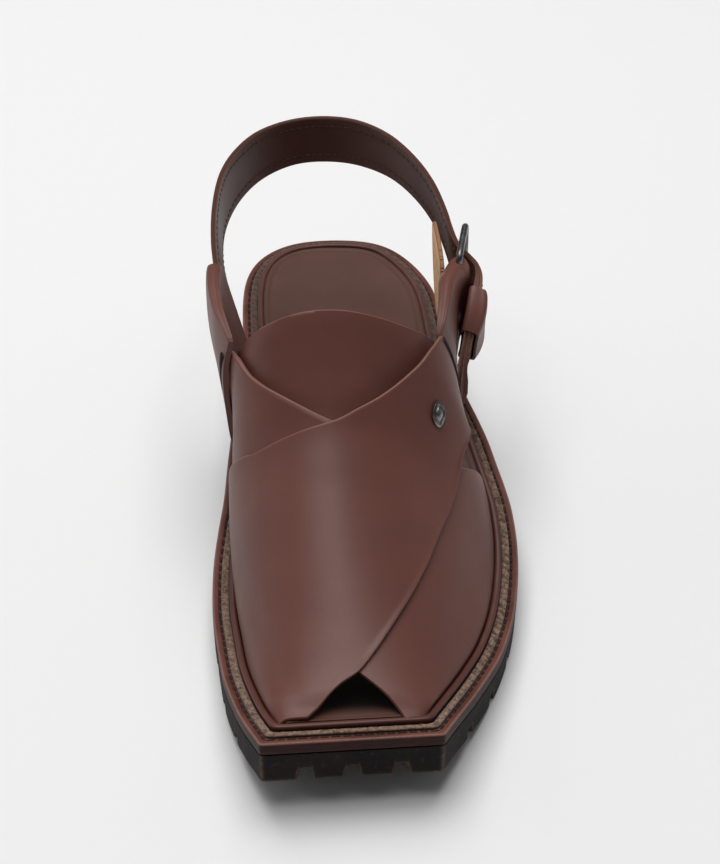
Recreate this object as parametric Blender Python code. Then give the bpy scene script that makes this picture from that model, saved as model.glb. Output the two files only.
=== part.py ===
"""Left shoe of a pair of open leather chappals, standing empty on its sole.

Lengths are told in millimetres from the heel's back (s) with x towards the outer side, and become
metres at the end, with the toe towards -Y, the outer side (the buckle) towards +X and the floor at z = 0.
"""
import math

import bmesh
import bpy
import numpy as np

for old in list(bpy.data.objects):
    bpy.data.objects.remove(old, do_unlink=True)

# Sizes in millimetres.
LENGTH = 300.0
GAP = 0.3            # between pieces that are glued or sewn together
WELT = 6.0           # leather midsole
RIM_H = 3.6          # rolled lip round the footbed, above the welt
RIM_OUT, RIM_IN = 7.1, 9.3
STRIP_OUT, STRIP_IN = 3.6, 6.6
LEATHER = 2.0        # one layer of the crossing panels
OVER = 1.55          # height of the upper panel's inner face over the last
INSET_A = RIM_IN + 4.1   # the last's inner foot line from the sole's edge
INSET_B = RIM_IN + 2.6   # the same on the outer side
GIRTH = 200.0        # length that a whole girth share counts as where points are spaced
STRAP_T = 2.0        # one layer of the heel strap
TAIL_T = 4.0         # the folded tail that is sewn through
BAR_R = 1.45         # buckle wire
NOTCH_TOE = 3.2      # half width of the three grooves in the toe


def curve(xs, ys):
    """Smooth curve through a table, straight beyond its ends."""
    xs, ys = np.asarray(xs, float), np.asarray(ys, float)
    d = np.diff(ys) / np.diff(xs)
    m = np.empty_like(ys)
    same = d[1:] * d[:-1] > 0
    m[1:-1] = np.where(same, 2 * d[1:] * d[:-1] / np.where(same, d[1:] + d[:-1], 1.0), 0.0)
    m[0], m[-1] = d[0], d[-1]

    def value(x):
        x = np.asarray(x, float)
        i = np.clip(np.searchsorted(xs, x) - 1, 0, len(xs) - 2)
        h = xs[i + 1] - xs[i]
        t = (x - xs[i]) / h
        c = np.clip(t, 0, 1)
        y = (ys[i] * (2 * c ** 3 - 3 * c ** 2 + 1) + h * m[i] * (c ** 3 - 2 * c ** 2 + c)
             + ys[i + 1] * (3 * c ** 2 - 2 * c ** 3) + h * m[i + 1] * (c ** 3 - c ** 2))
        return y + np.where(t < 0, t * h * m[i], 0) + np.where(t > 1, (t - 1) * h * m[i + 1], 0)
    return value


def spline(points, count):
    """Even points along a smooth curve through the given ones, in any number of dimensions."""
    p = np.asarray(points, float)
    t = np.concatenate([[0], np.cumsum(np.linalg.norm(np.diff(p, axis=0), axis=1) ** 0.5)])
    m = np.empty_like(p)
    a = (p[1:] - p[:-1]) / np.diff(t)[:, None]
    w = np.diff(t)
    m[1:-1] = (a[:-1] * w[1:, None] + a[1:] * w[:-1, None]) / (w[1:] + w[:-1])[:, None]
    m[0], m[-1] = a[0], a[-1]

    def at(u):
        i = np.clip(np.searchsorted(t, u) - 1, 0, len(t) - 2)
        h = (t[i + 1] - t[i])[:, None]
        c = ((u - t[i])[:, None]) / h
        return (p[i] * (2 * c ** 3 - 3 * c ** 2 + 1) + h * m[i] * (c ** 3 - 2 * c ** 2 + c)
                + p[i + 1] * (3 * c ** 2 - 2 * c ** 3) + h * m[i + 1] * (c ** 3 - c ** 2))
    fine = at(np.linspace(0, t[-1], 1500))
    g = np.concatenate([[0], np.cumsum(np.linalg.norm(np.diff(fine, axis=0), axis=1))])
    want = np.linspace(0, g[-1], count) if np.isscalar(count) else np.asarray(count) * g[-1]
    return np.stack([np.interp(want, g, fine[:, k]) for k in range(p.shape[1])], 1)


# Plan of the sole: x and s of its edge, from the heel's back along each side to the toe's corner.
EDGE_IN = [(-3, -0.1), (-12, 0.5), (-21.7, 2.9), (-28.4, 7), (-34.9, 13.5), (-39.2, 21.4), (-41.8, 30.5),
           (-43, 43), (-42.8, 60), (-42.3, 76), (-43, 98), (-46.2, 123), (-48.2, 142), (-49.6, 159),
           (-51.8, 175), (-53.2, 189), (-53.6, 203), (-52.9, 220), (-50.9, 236), (-48.2, 254.5),
           (-44.6, 270), (-40.1, 285), (-33.4, 302.0)]
EDGE_OUT = [(6, 0.2), (14.5, 1.8), (21.5, 4.9), (28.2, 11.3), (34.6, 21), (40.0, 31.6), (43.4, 41.5),
            (45.4, 58), (47, 76), (49.5, 95), (53, 109), (57.2, 122), (61, 134), (64, 146), (66.7, 157),
            (68.6, 167), (69.6, 181), (69.2, 195), (67.7, 208), (65.2, 222), (62, 234), (57.8, 246),
            (53, 257), (46.9, 270), (40.3, 283), (33.2, 297.6)]
STATIONS = 34

# Heights along the shoe: top of the welt, and the underside of the rubber.
welt_top = curve(LENGTH * np.linspace(0, 1, 11),
                 [39, 40, 39.8, 38.2, 34.4, 27.2, 20, 16.5, 18.5, 26, 36.4])
under = curve(LENGTH * np.array([0, .033, .08, .293, .347, .427, .5, .587, .64, .813, .853, .9, .95, 1]),
              [5.5, 2.0, 0, 0, 2.4, 5.6, 4.8, 1.2, 0, 0, 1.2, 4.6, 9.6, 15.0])


def side(points, first):
    """A side of the plan at the shared stations, closer together round the heel."""
    u = np.linspace(0, 1, STATIONS)
    return spline(points, u + first * np.sin(u * np.pi * 2) / (2 * np.pi))


INNER, OUTER = side(EDGE_IN, -0.25), side(EDGE_OUT, -0.25)


def loop_of(inner, outer, toe=5, heel=3):
    """One closed line round the plan: toe's inner corner, heel, toe's outer corner, and the toe's edge."""
    k = np.linspace(0, 1, toe + 1)[1:-1, None]
    front = outer[-1] * (1 - k) + inner[-1] * k
    h = np.linspace(0, 1, heel + 1)[1:-1, None]
    back = inner[0] * (1 - h) + outer[0] * h
    back[:, 1] -= 0.25
    return np.concatenate([inner[::-1], back, outer, front])


EDGE = loop_of(INNER, OUTER)
N_IN, N_BACK = len(INNER), 2
N_SIDE = N_IN + N_BACK + STATIONS - 1     # the toe's outer corner


def frame_of(loop):
    """Inward normals of the edge, and for each point the slide that belongs to the toe's two corners."""
    b = np.roll(loop, -1, 0) - loop
    step = np.linalg.norm(b, axis=1)
    b /= step[:, None]
    a = np.roll(b, 1, 0)
    t = a + b
    t[0], t[N_SIDE] = b[0], a[N_SIDE]
    t /= np.linalg.norm(t, axis=1, keepdims=True)
    inward = np.stack([t[:, 1], -t[:, 0]], 1)
    if (inward * (loop.mean(0) - loop)).sum() < 0:
        inward = -inward
    run = np.concatenate([[0], np.cumsum(step)])
    whole = run[-1]
    slide, turns = np.zeros((len(loop), 2)), []
    for corner in (0, N_SIDE):
        turn = np.arccos(np.clip((a[corner] * b[corner]).sum(), -1, 1))
        far = run[:-1] - run[corner]
        far = np.where(far > whole / 2, far - whole, far)
        far = np.where(far < -whole / 2, far + whole, far)
        k = np.clip(1 - np.abs(far) / 32.0, 0, 1)
        away = np.where(far > 0, 1.0, -1.0)
        away[corner] = 1.0 if corner == 0 else -1.0
        slide += t * (away * k)[:, None]
        turns.append(turn)
    return inward, slide, turns


NORMAL, SLIDE, TURNS = frame_of(EDGE)
AT_TOE = np.arange(len(EDGE)) > N_SIDE
TURN = np.where(np.abs(np.arange(len(EDGE)) - N_SIDE) < 20, TURNS[1], TURNS[0])


def inset(d, toe=None):
    """The edge moved inwards by d (a number, or one for each point), and by toe along the toe's edge."""
    d = np.broadcast_to(np.asarray(d, float), (len(EDGE),))
    front = d if toe is None else np.full(len(EDGE), float(toe))
    main, other = np.where(AT_TOE, front, d), np.where(AT_TOE, d, front)
    along = (other - np.cos(TURN) * main) / np.sin(TURN)
    return EDGE + NORMAL * main[:, None] + SLIDE * along[:, None]


def halves(loop):
    """The two sides of a closed line, both from the heel's back to the toe's corner."""
    return loop[:N_IN][::-1], loop[N_IN + N_BACK:N_IN + N_BACK + STATIONS]


def side_x(d, which):
    """x of one side of the edge moved in by d, as a curve over s."""
    line = halves(inset(d, RIM_IN))[which]
    return curve(line[4:, 1], line[4:, 0])


made = []


def build(name, verts, faces, colour, rough=0.5, metal=0.0):
    """A closed body from millimetre points (x, s, z)."""
    v = np.asarray(verts, float)
    world = np.stack([v[:, 0], LENGTH / 2 - v[:, 1], v[:, 2]], 1) / 1000
    mesh = bpy.data.meshes.new(name)
    mesh.from_pydata(world.tolist(), [], faces)
    work = bmesh.new()
    work.from_mesh(mesh)
    bmesh.ops.remove_doubles(work, verts=work.verts, dist=1e-7)
    bmesh.ops.recalc_face_normals(work, faces=work.faces)
    bmesh.ops.triangulate(work, faces=work.faces)
    work.to_mesh(mesh)
    work.free()
    thing = bpy.data.objects.new(name, mesh)
    bpy.context.collection.objects.link(thing)
    paint = bpy.data.materials.new(name)
    paint.use_nodes = True
    shade = paint.node_tree.nodes["Principled BSDF"]
    shade.inputs["Base Color"].default_value = (*colour, 1)
    shade.inputs["Roughness"].default_value = rough
    shade.inputs["Metallic"].default_value = metal
    paint.diffuse_color = (*colour, 1)
    mesh.materials.append(paint)
    made.append(thing)
    return thing


def rim_indices(n, m):
    """Indices round the border of an n by m grid."""
    grid = np.arange(n * m).reshape(n, m)
    return np.concatenate([grid[0, :-1], grid[:-1, -1], grid[-1, :0:-1], grid[:0:-1, 0]])


def slab(outer, inner, between=()):
    """Points and faces of a body between two grids; further border lines may lie between them."""
    n, m = outer.shape[:2]
    size = n * m
    verts = [outer.reshape(-1, 3), inner.reshape(-1, 3)]
    i = np.arange(size).reshape(n, m)
    a, b, c, d = i[:-1, :-1], i[1:, :-1], i[1:, 1:], i[:-1, 1:]
    faces = np.stack([a, b, c, d], -1).reshape(-1, 4).tolist()
    faces += (np.stack([d, c, b, a], -1).reshape(-1, 4) + size).tolist()
    edge = rim_indices(n, m)
    rows = [edge]
    start = 2 * size
    for line in between:
        verts.append(line)
        rows.append(np.arange(start, start + len(edge)))
        start += len(edge)
    rows.append(edge + size)
    for one, two in zip(rows[:-1], rows[1:]):
        nxt1, nxt2 = np.roll(one, -1), np.roll(two, -1)
        faces += np.stack([one, two, nxt2, nxt1], -1).tolist()
    return np.concatenate(verts), faces


def sweep(loops, closed=False):
    """Points and faces of a body through closed cross-sections; the ends are capped or joined."""
    n, m = loops.shape[:2]
    i = np.arange(n * m).reshape(n, m)
    j = np.roll(i, -1, 1)
    if closed:
        k, l = np.roll(i, -1, 0), np.roll(j, -1, 0)
        faces = np.stack([i, j, l, k], -1).reshape(-1, 4).tolist()
    else:
        faces = np.stack([i[:-1], j[:-1], j[1:], i[1:]], -1).reshape(-1, 4).tolist()
        faces += [i[0].tolist(), i[-1][::-1].tolist()]
    return loops.reshape(-1, 3), faces


def boolean(target, cutter, kind):
    """Cuts or joins with the exact solver and keeps the result as plain mesh."""
    mod = target.modifiers.new(kind, "BOOLEAN")
    mod.operation = kind
    mod.solver = "EXACT"
    mod.object = cutter
    cutter.hide_render = True
    cutter.display_type = "WIRE"
    dg = bpy.context.evaluated_depsgraph_get()
    mesh = bpy.data.meshes.new_from_object(target.evaluated_get(dg))
    target.modifiers.clear()
    old = target.data
    target.data = mesh
    bpy.data.meshes.remove(old)
    made.remove(cutter)
    bpy.data.objects.remove(cutter, do_unlink=True)
    work = bmesh.new()
    work.from_mesh(mesh)
    bmesh.ops.triangulate(work, faces=work.faces)
    bmesh.ops.remove_doubles(work, verts=work.verts, dist=2e-6)
    bmesh.ops.dissolve_degenerate(work, edges=work.edges, dist=1e-6)
    bmesh.ops.triangulate(work, faces=work.faces)
    work.to_mesh(mesh)
    work.free()


def plate(name, inset_top, inset_bottom, top, bottom, across, colour, rings=(), rough=0.6, toe=None):
    """A plate over the plan between two heights given as functions of x and s."""
    def grid(d, height):
        a, b = halves(inset(d, toe))
        t = np.linspace(0, 1, across + 1)[None, :, None]
        xy = a[:, None] * (1 - t) + b[:, None] * t
        bulge = 0.25 * (1 - (2 * t[..., 0] - 1) ** 2)
        xy[0, :, 1] -= bulge[0]
        return np.concatenate([xy, height(xy[..., 0], xy[..., 1])[..., None]], -1)
    upper_grid, lower_grid = grid(inset_top, top), grid(inset_bottom, bottom)
    between = []
    border = rim_indices(STATIONS, across + 1)
    for d, height in rings:
        between.append(grid(d, height).reshape(-1, 3)[border])
    return build(name, *slab(upper_grid, lower_grid, between), colour, rough)


# Rubber outsole with its arch, the toe's spring and a bevelled heel.
RUBBER = (0.018, 0.013, 0.011)
outsole = plate("outsole", 0.0, 1.8, lambda x, s: welt_top(s) - WELT - GAP, lambda x, s: under(s), 3, RUBBER,
                rings=[(0.2, lambda x, s: under(s) + 2.2)], rough=0.75)


def block(name, centre, along, half_w, depth, low, high, peak):
    """A small round-headed prism that points into the sole at a right angle to its edge."""
    t = np.array([along[1], -along[0]])
    outline = [(-half_w, low), (half_w, low), (half_w * 0.96, high), (half_w * 0.5, peak), (-half_w * 0.5, peak),
               (-half_w * 0.96, high)]
    loops = []
    for d in (-2.0, depth):
        loops.append([(*(centre + along * d + t * w), z) for w, z in outline])
    return build(name, *sweep(np.array(loops)), RUBBER)


def notches():
    """Grooves of the tread that end at the sole's edge."""
    found = []
    for points, way, spots in ((INNER, 1, (42, 62, 112, 131, 150, 170, 190, 211, 232, 253, 274)),
                               (OUTER, -1, (42, 62, 112, 131, 150, 170, 190, 211, 232, 253, 274))):
        x = np.interp(spots, points[3:, 1], points[3:, 0])
        g = np.gradient(points, axis=0)
        gx = np.interp(spots, points[3:, 1], g[3:, 0])
        gs = np.interp(spots, points[3:, 1], g[3:, 1])
        for xx, s, a, b in zip(x, spots, gx, gs):
            n = np.array([b, -a]) * way
            n /= np.linalg.norm(n)
            tall = float(np.interp(s, [40, 110, 180, 250, 280], [2.4, 2.6, 3.8, 5.6, 6.0]))
            wide = float(np.interp(s, [40, 110, 180, 250, 280], [1.6, 1.7, 2.2, 2.7, 2.8]))
            found.append((np.array([xx, float(s)]), n, wide, 11.0 if s > 100 else 8.0, tall))
    front = OUTER[-1] - INNER[-1]
    across = front / np.linalg.norm(front)
    inwards = np.array([across[1], -across[0]])
    if inwards[1] > 0:
        inwards = -inwards
    for share in (0.24, 0.5, 0.77):
        found.append((INNER[-1] + front * share, inwards, NOTCH_TOE, 11.0, 2 * NOTCH_TOE))
    return found


for k, (spot, inwards, wide, depth, tall) in enumerate(notches()):
    floor_z = float(under(spot[1]))
    boolean(outsole, block("cut", spot, inwards, wide, depth, floor_z - 6, floor_z + tall - 1.0, floor_z + tall),
            "DIFFERENCE")

# Leather midsole that shows as the brown band round the sole.
BROWN = (0.095, 0.036, 0.022)
plate("welt", 0.5, 0.4, lambda x, s: welt_top(s), lambda x, s: welt_top(s) - WELT, 2, BROWN,
      rings=[(0.0, lambda x, s: welt_top(s) - 0.6), (0.0, lambda x, s: welt_top(s) - WELT + 0.5)])


def ring(name, profile, colour, rough=0.6):
    """A band that follows the sole's edge; the profile lists inset and height over the welt."""
    loops = np.stack([np.concatenate([inset(d), (welt_top(inset(d)[:, 1]) + h)[:, None]], 1)
                      for d, h in profile], 1)
    return build(name, *sweep(loops, closed=True), colour, rough)


ring("storm_strip", [(STRIP_OUT, GAP), (STRIP_OUT + 0.1, 1.0), (STRIP_OUT + 0.6, 1.35), (STRIP_IN - 0.5, 1.35),
                     (STRIP_IN, GAP)], (0.16, 0.10, 0.06), 0.8)
ring("footbed_rim", [(RIM_OUT, GAP), (RIM_OUT, RIM_H - 1.0), (RIM_OUT + 0.8, RIM_H),
                     (RIM_IN - 0.4, RIM_H), (RIM_IN, GAP)], (0.12, 0.05, 0.03), 0.5)


def footbed_inset():
    """The footbed reaches the rim where no upper stands, and the upper's inner face where it does."""
    s = EDGE[:, 1]
    inner = np.arange(len(EDGE)) < N_IN + 1
    d = np.where(inner, INSET_A - OVER, INSET_B) + GAP + 0.25
    free = RIM_IN + GAP
    k = np.clip((s - 150) / 10, 0, 1)
    return free + (d - free) * k * k * (3 - 2 * k)


def footbed_top(x, s):
    """Top of the footbed, dished under the heel."""
    middle = 1.3
    r = np.clip(((x - middle) / 36) ** 2 + ((s - 46) / 50) ** 2, 0, 1)
    return welt_top(s) + RIM_H - 0.5 - 2.0 * (1 - r) ** 1.5


FOOT = footbed_inset()
plate("footbed", FOOT + 0.4, FOOT, footbed_top, lambda x, s: welt_top(s) + GAP, 6, (0.13, 0.06, 0.035),
      rings=[(FOOT, lambda x, s: footbed_top(x, s) - 0.5)], toe=RIM_IN + GAP)

# The last under the upper. Columns: s, x of the walls, crest's x and height, and the roundness of the
# outer side (two powers) and of the inner side.
LAST = np.array([
    [100, -46.5, 42.0, -5.0, 175.0, 2.0, 3.8, 7.0],
    [120, -46.3, 43.0, -5.0, 156.0, 2.0, 3.6, 6.2],
    [145, -44.8, 44.2, -6.0, 133.0, 2.0, 3.1, 5.0],
    [158, -43.6, 48.6, -6.0, 121.3, 2.0, 2.25, 4.2],
    [165, -43.2, 54.4, -6.0, 112.0, 1.9, 1.65, 3.7],
    [173, -43.2, 57.2, -6.0, 100.8, 1.8, 1.32, 3.2],
    [186, -43.2, 58.4, -6.0, 85.6, 1.7, 1.15, 2.5],
    [200, -42.8, 57.6, -6.0, 76.5, 1.7, 1.08, 2.1],
    [215, -41.4, 55.2, -5.0, 68.5, 1.7, 1.08, 2.0],
    [230, -39.4, 51.0, -4.0, 61.0, 1.7, 1.10, 1.9],
    [245, -36.4, 45.6, -2.5, 53.8, 1.75, 1.15, 1.8],
    [260, -32.6, 39.2, -0.5, 47.0, 1.8, 1.2, 1.8],
    [275, -27.6, 31.6, 1.5, 41.2, 1.9, 1.3, 1.7],
    [284, -24.0, 26.2, 1.0, 39.0, 2.0, 1.4, 1.6],
    [288, -22.0, 23.4, 0.5, 38.6, 2.0, 1.5, 1.6],
    [291.5, -19.8, 20.5, 0.0, 38.8, 2.0, 1.6, 1.5]])
FOOT_IN, FOOT_OUT = side_x(INSET_A, 0), side_x(INSET_B, 1)
WALL_IN, WALL_OUT, CREST_X, CREST_Z, POW_P, POW_Q, POW_IN = [curve(LAST[:, 0], LAST[:, i]) for i in range(1, 8)]


def sections(s, count=97):
    """Section lines of the last at the lengths s, from the outer foot over the crest to the inner foot."""
    s = np.atleast_1d(np.asarray(s, float))
    a, b, c, top, p, q, r = [f(s)[:, None] for f in (WALL_IN, WALL_OUT, CREST_X, CREST_Z, POW_P, POW_Q, POW_IN)]
    low = (welt_top(s) + GAP + RIM_H)[:, None]
    e = np.sin(np.linspace(0, 1, count) * np.pi / 2)[None, :]
    x1 = c + (b - c) * e[:, ::-1]
    z1 = low + (top - low) * np.maximum(1 - e[:, ::-1] ** p, 0) ** (1 / q)
    x2 = c + (a - c) * e[:, 1:]
    z2 = low + (top - low) * np.maximum(1 - e[:, 1:] ** 2, 0) ** (1 / r)
    x, z = np.concatenate([x1, x2], 1), np.concatenate([z1, z2], 1)
    # The walls draw in or flare to the foot line on the sole; behind the panels they lean in below.
    on = np.clip((s[:, None] - 154) / 10, 0, 1)
    to_in, to_out = FOOT_IN(s)[:, None] - a, FOOT_OUT(s)[:, None] - b
    tall = np.where(x < c, 14.0, np.where(to_out > 0, 30.0, 14.0))
    k = np.clip(1 - (z - low) / tall, 0, 1) ** 2
    x = x + k * on * np.where(x < c, np.clip(to_in, -6, 9), np.clip(to_out, -6, 9))
    lean = np.clip(1 - (z - low) / 60, 0, 1) ** 1.3 * 7.5 * (1 - np.clip((s[:, None] - 146) / 20, 0, 1))
    x = np.where(x < c, x + lean, x)
    # The foot of each wall stands upright beside the footbed.
    foot = low - RIM_H
    return np.concatenate([x[:, :1], x, x[:, -1:]], 1), np.concatenate([foot, z, foot], 1)


def last(s, v, off=0.0):
    """Points over the last at length s and girth share v (0 outer foot, 1 inner foot), raised by off."""
    s, v = np.broadcast_arrays(np.asarray(s, float), np.asarray(v, float))

    def raw(s_, v_):
        x, z = sections(s_.ravel())
        step = np.hypot(np.diff(x, axis=1), np.diff(z, axis=1))
        g = np.concatenate([np.zeros((len(x), 1)), np.cumsum(step, 1)], 1)
        g /= g[:, -1:]
        out = np.empty((len(x), 3))
        for i, (vv, ss) in enumerate(zip(v_.ravel(), s_.ravel())):
            out[i] = np.interp(vv, g[i], x[i]), ss, np.interp(vv, g[i], z[i])
        return out.reshape(s_.shape + (3,))
    p = raw(s, v)
    ds = raw(s + 0.8, v) - raw(s - 0.8, v)
    dv = raw(s, np.clip(v + 0.012, 0, 1)) - raw(s, np.clip(v - 0.012, 0, 1))
    n = np.cross(ds, dv)
    n /= np.linalg.norm(n, axis=-1, keepdims=True)
    middle = np.stack([np.zeros_like(s), s, np.full_like(s, 35.0)], -1)
    n *= np.sign((n * (p - middle)).sum(-1, keepdims=True))
    # Near the footbed the wall is raised sideways only, so that its foot stays level.
    foot = np.clip((0.06 - np.minimum(v, 1 - v)) / 0.06, 0, 1)
    n[..., 2] *= 1 - foot
    n /= np.linalg.norm(n, axis=-1, keepdims=True)
    p = p + n * off
    p[..., 2] += foot * (welt_top(p[..., 1]) - welt_top(s))
    return p


# Edges of the crossing panels on the last: length and girth share.
A_FREE = [(148.5, .287), (147.6, .225), (147.8, .165), (150, .138), (157, .147), (165, .172), (173, .192),
          (179, .198), (186, .205), (197, .225), (210, .256), (225, .285), (239, .32), (254, .368), (262, .40),
          (269, .44), (273.5, .479), (278, .55), (282, .629), (286.5, .74), (290, .84)]
A_TOP = [(148.5, .287), (156, .315), (164, .350), (174, .414), (180, .471), (184.5, .524), (186.5, .593),
         (186.5, .64), (185, .70), (181, .75), (172, .864), (168, .929), (166, 1.0)]
B_FREE = [(147, .745), (146, .80), (144.5, .86), (144, .905), (148, .912), (158, .902), (167, .888), (176, .86),
          (187, .82), (200, .785), (212, .75), (228, .714), (241, .679), (255, .62), (265, .55), (272.5, .479),
          (275.5, .40), (278, .336), (282.5, .225), (287, .15)]
B_TOP = [(147, .745), (155, .715), (162, .69), (170, .65), (179, .585), (184.5, .524), (187.5, .45),
         (187, .38), (184, .30), (180, .23), (175, .165), (169.5, .11), (166.5, .065), (165, 0.0)]


def girth_points(table, count):
    """Even points along a table of lengths and girth shares."""
    t = np.asarray(table, float) * [1, GIRTH]
    return spline(t, count) / [1, GIRTH]


def panel(free, top, foot, spread, n, m, low, high):
    """Outer and inner grids of a panel between its free edge and its foot line on the sole."""
    a = girth_points(free, n)
    first, last_s = top[-1][0], free[-1][0]
    u = np.linspace(0, 1, n)
    b = np.stack([first + (last_s - first) * u ** spread, np.full(n, float(foot))], 1)
    share = np.append(np.linspace(0, 0.98, m - 1), 1.0)     # the last step is the upright foot
    t = girth_points(top, share)
    w = share[None, :, None]
    flat = a[:, None] * (1 - w) + b[:, None] * w
    pull = t - (a[0] * (1 - w[0]) + b[0] * w[0])
    fade = np.clip(1 - 1.5 * u, 0, 1)
    flat = flat + fade[:, None, None] * pull[None]
    s, v = flat[..., 0], np.clip(flat[..., 1], 0, 1)
    return last(s, v, high), last(s, v, low)


UPPER = (0.075, 0.028, 0.02)
upper = build("upper", *slab(*panel(B_FREE, B_TOP, 0.0, 0.6, 29, 12, 0.0, LEATHER)), UPPER)
over = build("over", *slab(*panel(A_FREE, A_TOP, 1.0, 0.8, 31, 13, OVER, OVER + LEATHER)), UPPER)
boolean(upper, over, "UNION")


def fill_voids(thing):
    """Removes the closed pockets and crumbs left between two joined layers."""
    work = bmesh.new()
    work.from_mesh(thing.data)
    left = set(work.faces)
    while left:
        shell, todo = set(), [left.pop()]
        while todo:
            face = todo.pop()
            shell.add(face)
            for edge in face.edges:
                for near in edge.link_faces:
                    if near in left:
                        left.discard(near)
                        todo.append(near)
        volume = sum(f.calc_center_median().dot(f.normal) * f.calc_area() for f in shell)
        if volume < 3e-9:
            bmesh.ops.delete(work, geom=list(shell), context="FACES")
            left = {f for f in left if f.is_valid}
    bmesh.ops.delete(work, geom=[v for v in work.verts if not v.link_faces], context="VERTS")
    work.to_mesh(thing.data)
    work.free()


fill_voids(upper)

# Instep flap behind the crossing: its arched edge runs from one top corner to the other.
FLAP_EDGE = [(147.5, .27), (150, .30), (155, .364), (157.6, .43), (158.4, .50), (158.2, .55), (157, .607),
             (154.5, .66), (151, .714), (147, .745)]
FLAP_FRONT = [(172, .24), (190, .31), (198, .40), (201, .50), (198, .60), (190, .68), (172, .76)]


def flap_grid(off):
    n, m = 9, 18
    a, b = girth_points(FLAP_EDGE, m), girth_points(FLAP_FRONT, m)
    w = np.linspace(0, 1, n)[:, None, None]
    flat = a[None] * (1 - w) + b[None] * w
    return last(flat[..., 0], flat[..., 1], off)


build("instep_flap", *slab(flap_grid(-1.25), flap_grid(-3.05)), UPPER)


def rounded(a, b, th, cap=4):
    """Closed section of a strip between two edge points with a given thickness direction."""
    a, b, th = np.asarray(a, float), np.asarray(b, float), np.asarray(th, float)
    w = b - a
    half = np.linalg.norm(th, axis=-1, keepdims=True)
    u = w / np.linalg.norm(w, axis=-1, keepdims=True)
    pts = []
    for ang in np.linspace(-np.pi / 2, np.pi / 2, cap):
        pts.append(b - u * half + u * half * math.cos(ang) + th * math.sin(ang))
    for ang in np.linspace(np.pi / 2, 3 * np.pi / 2, cap):
        pts.append(a + u * half + u * half * math.cos(ang) + th * math.sin(ang))
    return np.stack(pts, -2)


def wall_at(s, z, off, outer):
    """x of the last's wall, raised by off, at the heights z."""
    v = np.linspace(0.02, 0.5, 60) if outer else np.linspace(0.98, 0.5, 60)
    p = last(np.full(60, float(s)), v, off)
    order = np.argsort(p[:, 2])
    return np.interp(z, p[order, 2], p[order, 0])


def ear(name, rows, colour=UPPER):
    """A folded side piece. Rows: s, then x and z down the inner face and back up the outer face."""
    table = np.array(rows, float)
    flat = spline(table, 15)
    loops = np.stack([flat[:, 1::2], np.repeat(flat[:, :1], (table.shape[1] - 1) // 2, 1), flat[:, 2::2]], -1)
    return build(name, *sweep(loops), colour)


def along(ends, k):
    """Quadratic through the values at the bottom, the middle and the top."""
    return ends[0] * (1 - k) * (1 - 2 * k) + ends[1] * 4 * k * (1 - k) + ends[2] * k * (2 * k - 1)


def ear_row(s, low, high, faces, side=1):
    """Row of an ear's section: rounded over the folded top, flat at the lower edge.

    faces holds x at the bottom, the middle and the top of the inner face, then of the outer face; or only two
    heights over the last's wall, on the outer side (1) or the inner side (-1).
    """
    zs = np.linspace(low, high - 1.5, 5)
    k = (zs - low) / (high - low)
    if len(faces) == 6:
        x_in, x_out = along(faces[:3], k), along(faces[3:], k)
    else:
        x_in, x_out = (wall_at(s, zs, off, side > 0) for off in faces)
    crown = x_out[-1] - x_in[-1]
    row = [s]
    for x, z in zip(x_in, zs):
        row += [x, z]
    row += [x_in[-1] + crown * 0.30, high - 0.2, x_in[-1] + crown * 0.70, high - 0.1]
    for x, z in zip(x_out[::-1], zs[::-1]):
        row += [x, z]
    return row


# Inner ear: one layer folded over the strap's end, with a lower edge that hangs free over the sole.
ear_inner = ear("ear_inner", [
    ear_row(151.5, 50.0, 100.6, (2.8, 5.0), -1),
    ear_row(149.0, 46.8, 102.0, (2.8, 5.4), -1),
    ear_row(143.0, 45.6, 103.2, (2.7, 6.2), -1),
    ear_row(128.0, 46.6, 104.2, (-39.0, -44.4, -47.6, -46.6, -51.8, -52.4)),
    ear_row(116.0, 47.8, 104.6, (-35.8, -42.2, -49.0, -48.2, -53.8, -54.0)),
    ear_row(107.0, 49.0, 104.0, (-36.2, -42.4, -48.7, -49.6, -54.4, -54.4)),
    ear_row(103.8, 50.0, 103.2, (-36.5, -42.5, -48.5, -50.0, -54.3, -54.3))])
# The room inside its fold, wider towards the open lower edge; the strap's end lies against its inner layer.
fold = ear("cut", [
    ear_row(130.0, 40.0, 96.0, (-41.4, -46.6, -49.2, -42.4, -47.6, -50.2)),
    ear_row(116.0, 40.0, 101.4, (-34.3, -41.8, -49.6, -45.8, -51.4, -52.5)),
    ear_row(107.0, 40.0, 101.9, (-35.0, -42.2, -49.5, -46.6, -52.2, -52.9)),
    ear_row(100.0, 40.0, 102.1, (-35.8, -42.6, -49.7, -46.8, -52.5, -53.1))])
boolean(ear_inner, fold, "DIFFERENCE")

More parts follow.
